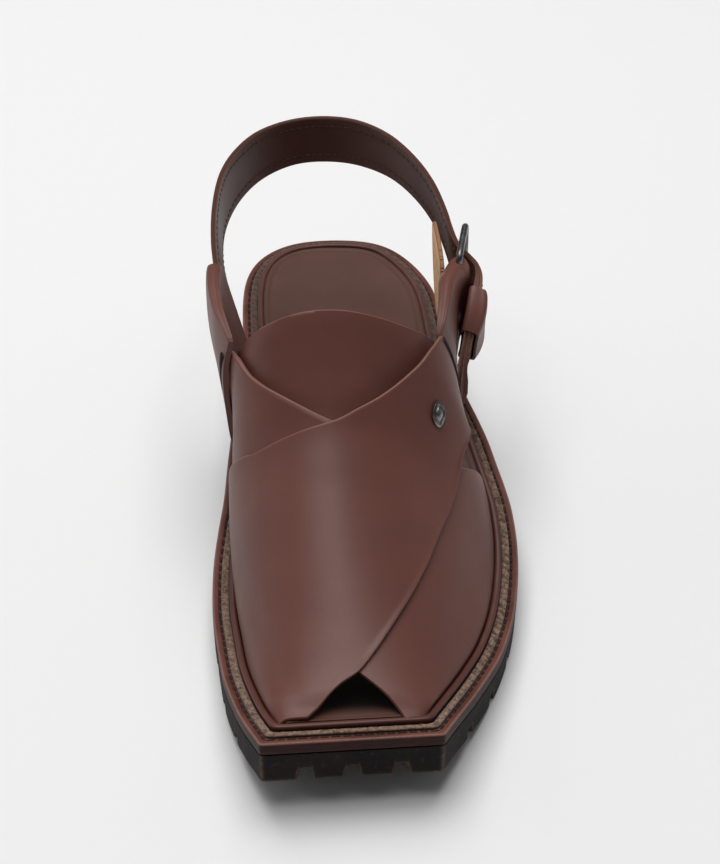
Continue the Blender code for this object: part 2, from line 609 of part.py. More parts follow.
# Outer ear: its front is skived thin under the upper panel, its back end is folded round the buckle's bar.
BAR = (48.5, 103.5)       # x and s of the front bar
outer_ear = ear("ear_outer", [
    ear_row(150.6, 66.0, 91.0, (-0.6, 0.4)),
    ear_row(148.2, 60.0, 94.5, (-0.6, 0.4)),
    ear_row(145.6, 50.5, 99.0, (0.0, 2.5)),
    ear_row(140.0, 48.4, 102.0, (0.1, 3.8)),
    ear_row(128.0, 48.0, 103.8, (42.8, 42.0, 38.2, 46.8, 46.8, 43.8)),
    ear_row(118.0, 49.6, 104.2, (42.8, 42.6, 39.4, 47.0, 47.8, 45.4)),
    ear_row(111.0, 58.0, 102.4, (43.0, 43.4, 41.4, 48.2, 48.7, 48.2)),
    ear_row(107.2, 67.2, 101.0, (43.0, 43.1, 42.8, 49.2, 49.3, 49.2)),
    ear_row(105.4, 68.8, 100.9, (43.0, 43.0, 43.0, 52.6, 52.7, 52.6)),
    ear_row(101.0, 69.3, 100.9, (43.0, 43.0, 43.0, 53.3, 53.4, 53.3)),
    ear_row(99.0, 69.4, 100.9, (44.6, 44.6, 44.6, 52.4, 52.4, 52.4)),
    ear_row(98.3, 69.6, 100.8, (46.8, 46.8, 46.8, 50.2, 50.2, 50.2))])


def rod(name, path, radius, colour, sides=8, closed=False, rough=0.35, metal=1.0):
    """A round bar along a path of (x, s, z) points."""
    p = np.asarray(path, float)
    t = (np.roll(p, -1, 0) - np.roll(p, 1, 0)) if closed else np.gradient(p, axis=0)
    t /= np.linalg.norm(t, axis=1, keepdims=True)
    ref = np.array([1.0, 0.0, 0.0]) if abs(t[:, 0]).max() < 0.9 else np.array([0.0, 0.0, 1.0])
    a = np.cross(t, ref)
    a /= np.linalg.norm(a, axis=1, keepdims=True)
    b = np.cross(t, a)
    w = np.linspace(0, 2 * np.pi, sides, endpoint=False)
    r = np.broadcast_to(np.asarray(radius, float), (len(p),))[:, None, None]
    loops = p[:, None] + r * (a[:, None] * np.cos(w)[None, :, None] + b[:, None] * np.sin(w)[None, :, None])
    return build(name, *sweep(loops, closed), colour, rough, metal)


STEEL = (0.30, 0.28, 0.27)
hole = rod("cut", [(BAR[0], BAR[1], 60), (BAR[0], BAR[1], 110)], BAR_R + 0.5, STEEL, sides=16)
boolean(outer_ear, hole, "DIFFERENCE")


def box(name, x, s, z, colour=UPPER):
    """A plain box between pairs of limits."""
    v = np.array([(a, b, c) for a in x for b in s for c in z], float)
    f = [(0, 1, 3, 2), (4, 6, 7, 5), (0, 4, 5, 1), (2, 3, 7, 6), (0, 2, 6, 4), (1, 5, 7, 3)]
    return build(name, v, f, colour)


PRONG_Z = 84.6
boolean(outer_ear, box("cut", (40, 56), (97, 107.8), (PRONG_Z - 1.9, PRONG_Z + 1.9)), "DIFFERENCE")

# Buckle frame: rounded corners, the front bar in the ear's fold and the back bar a little further out.
FRAME_LOW, FRAME_HIGH, BACK = 67.0, 104.4, (52.6, 80.5)


def frame_path():
    r, pts = 3.0, []
    def at(along, z):
        k = along / (BAR[1] - BACK[1])
        return (BAR[0] + (BACK[0] - BAR[0]) * k, BAR[1] - along, z)
    span = BAR[1] - BACK[1]
    for ca, cz, a0 in ((r, FRAME_HIGH - r, 180), (span - r, FRAME_HIGH - r, 90), (span - r, FRAME_LOW + r, 0),
                       (r, FRAME_LOW + r, -90)):
        for a in np.radians(np.linspace(a0, a0 - 90, 5)):
            pts.append(at(ca + r * math.cos(a), cz + r * math.sin(a)))
    return pts


rod("buckle_frame", frame_path(), BAR_R, STEEL, sides=8, closed=True)

# Prong: a ring round the front bar that runs out through the strap and rests over the back bar.
ring_pts = [(BAR[0] + 2.85 * math.cos(a), BAR[1] + 2.85 * math.sin(a), PRONG_Z)
            for a in np.radians(np.linspace(200, 0, 8))]
rod("buckle_prong", ring_pts + [(51.9, 100.2, PRONG_Z), (53.2, 96.6, PRONG_Z), (55.1, 92.5, PRONG_Z),
                                (56.0, 88.5, PRONG_Z), (55.9, 84.0, PRONG_Z), (55.3, 80.0, PRONG_Z),
                                (54.6, 75.0, PRONG_Z)], [1.0] * 14 + [0.8], STEEL, sides=6)

# Heel strap. Columns: x of the lower and upper edge, s, heights of the two edges, from the inner ear round
# the heel to the buckle.
STRAP = [(-40.8, -50.2, 112.5, 60.0, 98.8), (-42.4, -50.8, 104, 64.0, 101.4), (-45.2, -51.8, 94, 70.0, 107.6),
         (-49.4, -51.4, 80, 79.0, 114.5), (-49.6, -48.6, 62, 87.0, 118.5), (-43.8, -42.6, 46, 92.5, 119.5),
         (-33.4, -33.0, 33.5, 96.4, 120.5), (-19, -19.2, 27.4, 99.8, 122), (-3.4, -4.4, 27.6, 101.4, 123.5),
         (10.6, 9.0, 30.8, 101.0, 123.2), (24, 21.6, 37.5, 98.6, 120.6), (34.5, 32, 47.5, 94.0, 116),
         (42, 39.5, 58.5, 88.0, 110.6), (46.6, 44.2, 69, 80.5, 104.4), (48.9, 46.8, 78, 75.0, 99.8),
         (49.7, 48.4, 83, 72.6, 97.9), (51.2, 50.6, 88, 71.6, 97.2), (53.7, 53.7, 93.5, 71.2, 97.0),
         (56.1, 56.1, 98.5, 70.8, 96.6)]
# Its tail outside the outer ear: x, s, z of the middle, half width, and the lean of its width along s.
TAIL = [(56.8, 103, 82.8, 12.8, 0.10), (55.6, 108, 79.6, 12.7, 0.22), (53.8, 113.5, 74.6, 12.6, 0.38),
        (51.8, 119, 67.8, 12.0, 0.56), (50.5, 123.5, 61.6, 9.8, 0.70), (49.8, 127.8, 55.4, 6.2, 0.76),
        (49.6, 131.6, 49.8, 2.4, 0.80)]


def strap_line(count):
    """Lower and upper edge of the strap, and its unit thickness direction."""
    low = [(x, s, a) for x, y, s, a, b in STRAP]
    high = [(y, s, b) for x, y, s, a, b in STRAP]
    for x, s, z, half, lean in TAIL:
        d = np.array([0.0, -lean, -1.0])
        d /= np.linalg.norm(d)
        low.append(np.array([x, s, z]) + d * half)
        high.append(np.array([x, s, z]) - d * half)
    both = spline(np.concatenate([np.array(low), np.array(high)], 1), count)
    a, b = both[:, :3], both[:, 3:]
    t = np.gradient(0.5 * (a + b), axis=0)
    th = np.cross(t, b - a)
    return a, b, th / np.linalg.norm(th, axis=1, keepdims=True)


def strap_half(line):
    """Half thickness along the strap: one layer, and the tail's behind the buckle."""
    k = np.clip((line[:, 1] - 99) / 6, 0, 1) * (line[:, 0] > 0)
    return (STRAP_T + (TAIL_T - STRAP_T) * k[:, None]) / 2


a, b, th = strap_line(54)
heel_strap = build("heel_strap", *sweep(rounded(a, b, th * strap_half(a / 2 + b / 2), 3)), UPPER)
boolean(heel_strap, box("cut", (50.2, 58.5), (91.2, 99.6), (PRONG_Z - 1.6, PRONG_Z + 1.6)), "DIFFERENCE")


def keeper(first, last_s):
    """Leather loop round the strap's tail, beside the outer ear."""
    a, b, th = strap_line(400)
    c = 0.5 * (a + b)
    on_tail = np.nonzero(c[:, 0] > 40)[0]
    loops_out, loops_in = [], []
    for s in np.linspace(first, last_s, 4):
        i = on_tail[np.argmin(np.abs(c[on_tail, 1] - s))]
        d = (a[i] - b[i]) / np.linalg.norm(a[i] - b[i])
        out = th[i] * np.sign(th[i][0])
        half = np.linalg.norm(a[i] - b[i]) / 2
        for grow, back, face, loops in ((0.5, 0.4, 0.8, loops_in), (1.9, 1.5, 2.2, loops_out)):
            h, back, face = half + grow, TAIL_T / 2 + back, TAIL_T / 2 + face
            w = [(-h, -back), (-h, face * 0.4), (-h + 1.6, face), (h - 1.6, face), (h, face * 0.4), (h, -back)]
            loops.append([c[i] + d * p + out * q for p, q in w])
    o, i = np.array(loops_out), np.array(loops_in)
    n, m = o.shape[:2]
    verts = np.concatenate([o.reshape(-1, 3), i.reshape(-1, 3)])
    g = np.arange(n * m).reshape(n, m)
    h = np.roll(g, -1, 1)
    faces = np.stack([g[:-1], g[1:], h[1:], h[:-1]], -1).reshape(-1, 4).tolist()
    faces += (np.stack([h[:-1], h[1:], g[1:], g[:-1]], -1).reshape(-1, 4) + n * m).tolist()
    for r, flip in ((0, False), (-1, True)):
        quad = np.stack([g[r], h[r], h[r] + n * m, g[r] + n * m], -1)
        faces += (quad[:, ::-1] if flip else quad).tolist()
    return build("keeper_loop", verts, faces, UPPER)


keeper(110.2, 118.6)

# Raw leather tab that lies behind the buckle, a little closer to the shoe's middle at its back.
TAB = [(104.6, 69.5), (104.6, 99.5), (76.0, 101.0), (71.5, 98.6), (70.8, 78.0), (78.0, 68.0)]
tab_loops = np.array([[(x - 0.047 * (TAB[0][0] - s), s, z) for s, z in TAB] for x in (40.8, 42.6)])
build("buckle_tab", *sweep(tab_loops), (0.42, 0.24, 0.13), 0.85)


def stud():
    """Plain lozenge stud on the outer forepart."""
    s0, v0, half_l, half_w = 170.0, 0.285, 5.0, 3.2
    a = last(np.array([s0]), np.array([v0]), OVER + LEATHER + 0.15)[0]
    b = last(np.array([s0]), np.array([v0]), 8.0)[0]
    n = (b - a) / np.linalg.norm(b - a)
    up = last(np.array([s0 - 4.0]), np.array([v0 + 0.01]), OVER + LEATHER)[0] - a
    up -= n * up.dot(n)
    up /= np.linalg.norm(up)
    w = np.cross(n, up)
    loops = []
    for h, k in ((0.25, 0.95), (1.1, 1.0), (1.9, 0.62)):
        loops.append([a + n * h + (up * math.cos(t) * half_l + w * math.sin(t) * half_w) * k
                      for t in np.linspace(0, 2 * np.pi, 12, endpoint=False)])
    return build("stud", *sweep(np.array(loops)), STEEL, 0.35, 1.0)


stud()

# The origin goes to the middle of the whole, on the floor.
corners = np.array([v.co[:] for thing in made for v in thing.data.vertices])
low, high = corners.min(0), corners.max(0)
move = np.array([(low[0] + high[0]) / 2, (low[1] + high[1]) / 2, low[2]])
for thing in made:
    for v in thing.data.vertices:
        v.co = (v.co[0] - move[0], v.co[1] - move[1], v.co[2] - move[2])
    thing.data.update()
print("moved by", np.round(move * 1000, 3), "size", np.round((high - low) * 1000, 2))
print("triangles", sum(len(thing.data.polygons) for thing in made))
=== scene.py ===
# %% [markdown]
# # An open leather chappal in Blender
# The shoe is a left one with two crossing panels, a flap behind them, two folded ears, a heel strap with a
# buckle, and a thick rubber sole. Its plain solids are loaded first and stay as they are: every piece made
# below is worked out on the same lines, lies where its solid lies, and takes its place in the picture.

# %% Load the frame
import math

import bmesh
import bpy
import numpy as np
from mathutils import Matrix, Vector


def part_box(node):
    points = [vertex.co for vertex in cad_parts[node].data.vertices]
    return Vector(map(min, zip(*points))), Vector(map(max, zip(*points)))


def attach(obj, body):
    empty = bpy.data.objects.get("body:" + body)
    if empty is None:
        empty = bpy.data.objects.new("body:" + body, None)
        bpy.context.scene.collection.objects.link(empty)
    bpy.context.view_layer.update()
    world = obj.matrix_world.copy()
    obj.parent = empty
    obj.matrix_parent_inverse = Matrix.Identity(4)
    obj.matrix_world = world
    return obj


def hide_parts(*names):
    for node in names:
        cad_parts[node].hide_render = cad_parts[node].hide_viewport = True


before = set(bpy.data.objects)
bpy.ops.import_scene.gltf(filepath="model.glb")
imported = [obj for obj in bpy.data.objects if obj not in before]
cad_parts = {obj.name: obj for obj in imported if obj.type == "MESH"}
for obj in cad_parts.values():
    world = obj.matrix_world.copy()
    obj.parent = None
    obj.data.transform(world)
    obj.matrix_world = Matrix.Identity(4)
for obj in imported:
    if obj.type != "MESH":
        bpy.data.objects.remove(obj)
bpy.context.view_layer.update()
print("solids:", sorted(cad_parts))

# %% [markdown]
# ## One set of lengths
# A shoemaker measures from the back of the heel, so points are told here as x (towards the outer side),
# s (from the heel's back towards the toe) and z, in millimetres. The frame's own boxes say where the sole
# lies, which turns such a point into Blender's metres.

# %% From shoe lengths to the frame
sole_low, sole_high = (np.array(v) * 1000 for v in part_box("outsole"))
SHIFT_X, HEEL_Y = -53.6 - sole_low[0], sole_high[1] - 0.2


def to_frame(points):
    """World x is x less the shift, world y is the heel's place less s, and all of it is in metres."""
    p = np.asarray(points, float)
    return np.stack([p[..., 0] - SHIFT_X, HEEL_Y - p[..., 1], p[..., 2]], -1) / 1000


print("sole", np.round(sole_high - sole_low, 1), "mm, shift", round(SHIFT_X, 3), "heel", round(HEEL_Y, 3))

# %% [markdown]
# ## The camera
# The photograph looks down at the toe from about 41 degrees. The camera stands where the photographer stood
# and is turned to the middle of this one shoe; a long lens keeps the toe from looking swollen.

# %% Camera
EYE, TARGET = (-0.0182, -0.6356, 0.6096), (-0.0006, 0.0, 0.052)
LENS, SENSOR, PHOTO_WIDE, PHOTO_TALL = 104.0, 36.0, 720, 864


def stand(thing, place, target):
    """Puts a camera or a light at its place, tilted up from straight down and turned about z to the target."""
    d = np.array(target, float) - place
    thing.location = place
    thing.rotation_euler = (math.atan2(np.hypot(d[0], d[1]), -d[2]), 0, math.atan2(-d[0], d[1]))
    bpy.context.collection.objects.link(thing)


camera = bpy.data.objects.new("camera", bpy.data.cameras.new("camera"))
stand(camera, EYE, TARGET)
camera.data.lens, camera.data.sensor_fit, camera.data.clip_start = LENS, "VERTICAL", 0.01
camera.data.sensor_width, camera.data.sensor_height = SENSOR, SENSOR * PHOTO_TALL / PHOTO_WIDE
bpy.context.scene.camera = camera
print("camera at", round(math.dist(EYE, TARGET), 3), "m")

# %% [markdown]
# ## Smooth lines through a few points
# A handful of measured points is enough for a shoe's outline if the curve between them is smooth. `curve`
# never overshoots its points and serves for heights; `spline` runs through points in space and spreads
# even steps along the line.


# %% Curves
def unit(v):
    """Vectors along the last axis, made one long."""
    return v / np.linalg.norm(v, axis=-1, keepdims=True)


def hermite(c, start, end, rise, fall):
    """Cubic from start to end while c goes from 0 to 1, with the slopes rise and fall at its ends."""
    return (start * (2 * c ** 3 - 3 * c ** 2 + 1) + rise * (c ** 3 - 2 * c ** 2 + c)
            + end * (3 * c ** 2 - 2 * c ** 3) + fall * (c ** 3 - c ** 2))


def weights(t):
    """Shares of four neighbours in a smooth reading at t between the middle two."""
    return (-t / 2 + t * t - t ** 3 / 2, 1 - 2.5 * t * t + 1.5 * t ** 3,
            t / 2 + 2 * t * t - 1.5 * t ** 3, (t ** 3 - t * t) / 2)


def curve(xs, ys):
    """Cubic pieces whose slope at each point is the harmonic mean of its neighbours' slopes."""
    xs, ys = np.asarray(xs, float), np.asarray(ys, float)
    d = np.diff(ys) / np.diff(xs)
    m = np.empty_like(ys)
    same = d[1:] * d[:-1] > 0
    m[1:-1] = np.where(same, 2 * d[1:] * d[:-1] / np.where(same, d[1:] + d[:-1], 1.0), 0.0)
    m[0], m[-1] = d[0], d[-1]

    def value(x):
        x = np.asarray(x, float)
        i = np.clip(np.searchsorted(xs, x) - 1, 0, len(xs) - 2)
        h = xs[i + 1] - xs[i]
        t = (x - xs[i]) / h
        y = hermite(np.clip(t, 0, 1), ys[i], ys[i + 1], h * m[i], h * m[i + 1])
        return y + np.where(t < 0, t * h * m[i], 0) + np.where(t > 1, (t - 1) * h * m[i + 1], 0)
    return value


def spline(points, count):
    """Even points, or points at the given shares, along a curve whose knots follow the root of distance."""
    p = np.asarray(points, float)
    t = np.concatenate([[0], np.cumsum(np.linalg.norm(np.diff(p, axis=0), axis=1) ** 0.5)])
    m = np.empty_like(p)
    a = (p[1:] - p[:-1]) / np.diff(t)[:, None]
    w = np.diff(t)
    m[1:-1] = (a[:-1] * w[1:, None] + a[1:] * w[:-1, None]) / (w[1:] + w[:-1])[:, None]
    m[0], m[-1] = a[0], a[-1]
    u = np.linspace(0, t[-1], 3000)
    i = np.clip(np.searchsorted(t, u) - 1, 0, len(t) - 2)
    h = (t[i + 1] - t[i])[:, None]
    fine = hermite((u - t[i])[:, None] / h, p[i], p[i + 1], h * m[i], h * m[i + 1])
    g = np.concatenate([[0], np.cumsum(np.linalg.norm(np.diff(fine, axis=0), axis=1))])
    want = np.linspace(0, g[-1], count) if np.isscalar(count) else np.asarray(count) * g[-1]
    return np.stack([np.interp(want, g, fine[:, k]) for k in range(p.shape[1])], 1)


def ease(x):
    """Smooth step from 0 to 1."""
    x = np.clip(x, 0, 1)
    return x * x * (3 - 2 * x)


def wobble(u, *waves):
    """Sum of sines, each given as height, waves per unit and phase: a hand's unevenness without chance."""
    return sum(height * np.sin(2 * np.pi * (rate * u + phase)) for height, rate, phase in waves)


# %% [markdown]
# ## Finishes
# A leather finish is mostly arithmetic on patterns. `Wire` stands for a number inside the shader, so that
# `1 - mask` or `grain * 0.2` can be written as in any program and becomes Math nodes; `Finish` holds one
# material and adds every other kind of node through one method.


# %% Shader arithmetic
class Wire:
    """A number on its way through a finish; arithmetic on it adds Math nodes."""

    def __init__(self, finish, socket):
        self.finish, self.socket = finish, socket

    def math(self, operation, a, b=0.0, clamp=False):
        return self.finish.node("ShaderNodeMath", {"operation": operation, "use_clamp": clamp}, {0: a, 1: b})

    __add__ = __radd__ = lambda self, other: self.math("ADD", self, other)
    __mul__ = __rmul__ = lambda self, other: self.math("MULTIPLY", self, other)
    __sub__ = lambda self, other: self.math("SUBTRACT", self, other)
    __rsub__ = lambda self, other: self.math("SUBTRACT", other, self)
    clamp = lambda self: self.math("ADD", self, 0.0, clamp=True)

    def step(self, low, high):
        """0 below low, 1 above high and smooth between them."""
        return self.finish.node("ShaderNodeMapRange", {"interpolation_type": "SMOOTHSTEP"},
                                {"Value": self, "From Min": low, "From Max": high})


def tone(red, green, blue):
    """A colour as seen on a screen, 0 to 255, made linear."""
    c = np.array([red, green, blue]) / 255
    return (*np.where(c < 0.04045, c / 12.92, ((c + 0.055) / 1.055) ** 2.4).tolist(), 1.0)


class Finish:
    """One material, with its Principled shader and its patterns on Object coordinates."""

    def __init__(self, name, **fixed):
        self.material = bpy.data.materials.new(name)
        self.material.use_nodes = True
        self.tree = self.material.node_tree
        self.shader = self.tree.nodes["Principled BSDF"]
        for socket, value in fixed.items():
            self.shader.inputs[socket.replace("_", " ")].default_value = value
        self.place = self.node("ShaderNodeTexCoord", out="Object")

    def feed(self, socket, value):
        if isinstance(value, Wire):
            self.tree.links.new(value.socket, socket)
        else:
            socket.default_value = value

    def node(self, kind, settings=None, values=None, out=0):
        made = self.tree.nodes.new(kind)
        for key, value in (settings or {}).items():
            setattr(made, key, value)
        for key, value in (values or {}).items():
            self.feed(made.inputs[key], value)
        return Wire(self, made.outputs[out])

    def noise(self, scale, detail=3.0, rough=0.55, place=None):
        return self.node("ShaderNodeTexNoise", None, {"Vector": place or self.place, "Scale": scale,
                                                      "Detail": detail, "Roughness": rough})

    def stretched(self, along_z):
        return self.node("ShaderNodeMapping", None, {"Vector": self.place, "Scale": (1, 1, along_z)})

    def pores(self, scale):
        values = {"Vector": self.place, "Scale": scale}
        return self.node("ShaderNodeTexVoronoi", {"feature": "SMOOTH_F1"}, values)

    def attribute(self, name):
        return self.node("ShaderNodeAttribute", {"attribute_name": name}, out="Fac")

    def mix(self, share, a, b):
        return self.node("ShaderNodeMix", {"data_type": "RGBA"}, {0: share, 6: a, 7: b}, out=2)

    def done(self, colour, rough, height=None):
        """Joins colour, roughness and a bump told in millimetres to the shader, and hands over the material."""
        self.feed(self.shader.inputs["Base Color"], colour)
        self.feed(self.shader.inputs["Roughness"], rough.clamp())
        if height:
            bump = self.node("ShaderNodeBump", None, {"Strength": 1.0, "Distance": 0.001, "Height": height})
            self.feed(self.shader.inputs["Normal"], bump)
        return self.material


# %% [markdown]
# ## Upper leather
# The upper is smooth corrected-grain leather: nearly even chocolate brown, a faint pore pattern that only
# breaks the highlight, and a wax finish with a broad soft sheen. Cut edges are paler, and the flesh side is
# dull and painted almost black, as painted shade for the inside of the shoe. Two attributes on each mesh say
# where those are: `rim` is the distance from a cut edge in millimetres, and `lining` is 1 on the flesh side.


# %% Leather finish
def leather(name, face, deep, cut, flesh, rough):
    """Leather with clouds of a deeper tone, pores, slightly paler cut edges and a dull flesh side painted dark
    as shade.
    """
    f = Finish(name, Specular_IOR_Level=0.38)
    cloud, speck = f.noise(26, 4), f.noise(900, 3)
    rim, lining = f.attribute("rim"), f.attribute("lining")
    colour = f.mix((cloud * 1.5 - 0.25).clamp(), face, deep)
    colour = f.mix(speck * 0.2, colour, deep)
    # The flesh side takes the flesh colour: painted shade, near black inside the upper.
    colour = f.mix(lining, colour, flesh)
    fray = f.noise(2600, 2)
    edge = 1 - rim.step(0.02, 0.3)
    colour = f.mix(edge * (fray * 0.6 + 0.1), colour, cut)
    colour = f.mix(f.attribute("raw") * (fray.step(0.35, 0.6) * 0.8 + 0.1), colour, tone(158, 124, 110))
    return f.done(colour, speck * 0.10 + rough - 0.05 + cloud * 0.06 + lining * 0.25,
                  f.pores(1500) * 0.012 + speck * 0.010 + fray * edge * 0.05 + lining * speck * 0.05)


# The flesh colours are painted shade: near black for the upper's inside, dark brown for the strap's inner face.
UPPER = leather("upper_leather", tone(111, 67, 57), tone(92, 53, 45), tone(142, 102, 90), tone(12, 7, 6), 0.45)
STRAP = leather("strap_leather", tone(96, 56, 47), tone(74, 40, 33), tone(132, 94, 80), tone(32, 17, 14), 0.46)
print("leathers:", UPPER.name, STRAP.name)


# %% [markdown]
# ## Turning arrays into pieces
# All pieces go through `piece`: points and faces become a closed mesh whose faces look outwards, its
# attributes and finish are set, it rides on the shoe's one body, and the solids it stands for are hidden.


# %% Meshes
def piece(name, verts, faces, finish, slot, stands_for=(), sharp=48, **values):
    """A closed mesh from shoe points in millimetres; edges bent by more than `sharp` degrees stay crisp."""
    mesh = bpy.data.meshes.new(name)
    polygons = [polygon for part in faces for polygon in np.asarray(part).tolist()]
    mesh.from_pydata(to_frame(verts).reshape(-1, 3).tolist(), [], polygons)
    for key, value in values.items():
        mesh.attributes.new(key, "FLOAT", "POINT").data.foreach_set(
            "value", np.broadcast_to(np.ravel(value), len(mesh.vertices)).astype(np.float32))
    work = bmesh.new()
    work.from_mesh(mesh)
    bmesh.ops.recalc_face_normals(work, faces=work.faces)
    work.to_mesh(mesh)
    work.free()
    mesh.polygons.foreach_set("use_smooth", [True] * len(mesh.polygons))
    mesh.set_sharp_from_angle(angle=math.radians(sharp))
    mesh.materials.append(finish)
    thing = bpy.data.objects.new(name, mesh)
    bpy.context.collection.objects.link(thing)
    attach(thing, "root")
    if stands_for:
        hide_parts(*stands_for)
    print(f"{name}: {len(mesh.polygons)} faces")


def numbers(grid):
    """Vertex numbers of a grid of points."""
    return np.arange(grid.shape[0] * grid.shape[1]).reshape(grid.shape[:2])


def net(index, closed=False):
    """Quads of a grid of vertex numbers, rows joined along the first axis; closed joins the last column too."""
    if closed:
        index = np.concatenate([index, index[:, :1]], 1)
    return np.stack([index[:-1, :-1], index[1:, :-1], index[1:, 1:], index[:-1, 1:]], -1).reshape(-1, 4)


def tube(loops, ends=None):
    """Faces of a stack of loops; its ends are closed by a face each, "joined", or made by a function."""
    index = numbers(loops)
    faces = [net(index, closed=True)]
    if ends == "joined":
        return faces + [net(np.stack([index[-1], index[0]]), closed=True)]
    close = ends or (lambda row: [[row.tolist()]])
    return faces + close(index[0]) + close(index[-1])


def border(index):
    """Vertex numbers round the border of a grid."""
    return np.concatenate([index[0, :-1], index[:-1, -1], index[-1, :0:-1], index[:0:-1, 0]])


def steps(grid, axis):
    """Distance in millimetres from the start of each line of a grid along an axis."""
    d = np.linalg.norm(np.diff(grid, axis=axis), axis=-1)
    first = np.zeros_like(np.take(d, [0], axis))
    return np.concatenate([first, np.cumsum(d, axis)], axis)


def sheet_of(outer, inner, round_by=0.5, rows=3):
    """Closed body between two grids, with a cut edge whose section is a flat half circle.

    Returns points, faces, the distance of each point from the nearest border, and 1 for the inner grid.
    """
    n, m = outer.shape[:2]
    index = numbers(outer)
    ring = border(index)
    a, b = outer.reshape(-1, 3)[ring], inner.reshape(-1, 3)[ring]
    # Away from the sheet: from one step inside the border to the border itself.
    near = index[1:-1, 1:-1]
    inside = np.pad(near, 1, mode="edge")
    away = outer.reshape(-1, 3)[ring] - outer.reshape(-1, 3)[border(inside)]
    away /= np.maximum(np.linalg.norm(away, axis=1, keepdims=True), 1e-6)
    verts, faces = [outer.reshape(-1, 3), inner.reshape(-1, 3)], [net(index), net(index + n * m)]
    last_row, start = ring, 2 * n * m
    for k in range(1, rows + 1):
        angle = math.pi * k / (rows + 1)
        share = (1 - math.cos(angle)) / 2
        verts.append(a * (1 - share) + b * share + away * round_by * math.sin(angle))
        row = np.arange(start, start + len(ring))
        faces.append(net(np.stack([last_row, row]), closed=True))
        last_row, start = row, start + len(ring)
    faces.append(net(np.stack([last_row, ring + n * m]), closed=True))
    u, v = steps(outer, 0), steps(outer, 1)
    gap = np.minimum(np.minimum(u, u[-1:] - u), np.minimum(v, v[:, -1:] - v)).ravel()
    rim = np.concatenate([gap, gap, np.zeros(rows * len(ring))])
    lining = np.concatenate([np.zeros(n * m), np.ones(n * m), np.zeros(rows * len(ring))])
    return np.concatenate(verts), faces, rim, lining


# %% [markdown]
# ## The sole's plan
# Everything in the sole follows one outline: two sides from the heel's back to the toe's corners, and the
# blunt toe between them. `inset` moves the outline inwards, mitring the two corners; `soften` rounds those
# corners for the pieces that bend round them instead of being cut.

# %% Outline and heights
EDGE_IN = [(-3, -0.1), (-12, 0.5), (-21.7, 2.9), (-28.4, 7), (-34.9, 13.5), (-39.2, 21.4), (-41.8, 30.5),
           (-43, 43), (-42.8, 60), (-42.3, 76), (-43, 98), (-46.2, 123), (-48.2, 142), (-49.6, 159),
           (-51.8, 175), (-53.2, 189), (-53.6, 203), (-52.9, 220), (-50.9, 236), (-48.2, 254.5),
           (-44.6, 270), (-40.1, 285), (-33.4, 302.0)]
EDGE_OUT = [(6, 0.2), (14.5, 1.8), (21.5, 4.9), (28.2, 11.3), (34.6, 21), (40.0, 31.6), (43.4, 41.5),
            (45.4, 58), (47, 76), (49.5, 95), (53, 109), (57.2, 122), (61, 134), (64, 146), (66.7, 157),
            (68.6, 167), (69.6, 181), (69.2, 195), (67.7, 208), (65.2, 222), (62, 234), (57.8, 246),
            (53, 257), (46.9, 270), (40.3, 283), (33.2, 297.6)]
welt_top = curve([0, 30, 60, 90, 120, 150, 180, 210, 240, 270, 300],
                 [39, 40, 39.8, 38.2, 34.4, 27.2, 20, 16.5, 18.5, 26, 36.4])
under = curve([0, 10, 24, 88, 104, 128, 150, 176, 192, 244, 256, 270, 285, 300],
              [5.5, 2.0, 0, 0, 2.4, 5.6, 4.8, 1.2, 0, 0, 1.2, 4.6, 9.6, 15.0])
WELT, GAP, RIM_H, RIM_OUT, RIM_IN, STRIP_OUT = 6.0, 0.3, 3.6, 7.1, 9.3, 3.6
STATIONS, TOE_STEPS, HEEL_STEPS, SPACING = 460, 100, 12, 0.66     # points on a side, toe and heel; mm apart


def side(points):
    """A side of the plan, its stations closer together round the heel."""
    u = np.linspace(0, 1, STATIONS)
    return spline(points, u - 0.25 * np.sin(u * np.pi * 2) / (2 * np.pi))


INNER, OUTER = side(EDGE_IN), side(EDGE_OUT)
across_toe = np.linspace(0, 1, TOE_STEPS + 1)[1:-1, None]
across_heel = np.linspace(0, 1, HEEL_STEPS + 1)[1:-1, None]
back = INNER[0] * (1 - across_heel) + OUTER[0] * across_heel
back[:, 1] -= 0.25 * np.sin(across_heel[:, 0] * np.pi)
EDGE = np.concatenate([INNER[::-1], back, OUTER, OUTER[-1] * (1 - across_toe) + INNER[-1] * across_toe])
bell = np.exp(-0.5 * (np.arange(-30, 31) / 11.0) ** 2)
even = np.stack([np.convolve(EDGE[:, k], bell / bell.sum(), "same") for k in (0, 1)], 1)
EDGE += (even - EDGE) * ease((70 - EDGE[:, 1:]) / 25)     # the heel's turns run into one another
CORNERS = (0, 2 * STATIONS + HEEL_STEPS - 2)
RUN = np.concatenate([[0], np.cumsum(np.linalg.norm(np.roll(EDGE, -1, 0) - EDGE, axis=1))])
AROUND, RUN = RUN[-1], RUN[:-1]
AT_TOE = np.arange(len(EDGE)) > CORNERS[1]


def from_corner(corner):
    """Distance along the outline from one of the toe's corners, negative before it."""
    d = RUN - RUN[corner]
    return np.where(d > AROUND / 2, d - AROUND, np.where(d < -AROUND / 2, d + AROUND, d))


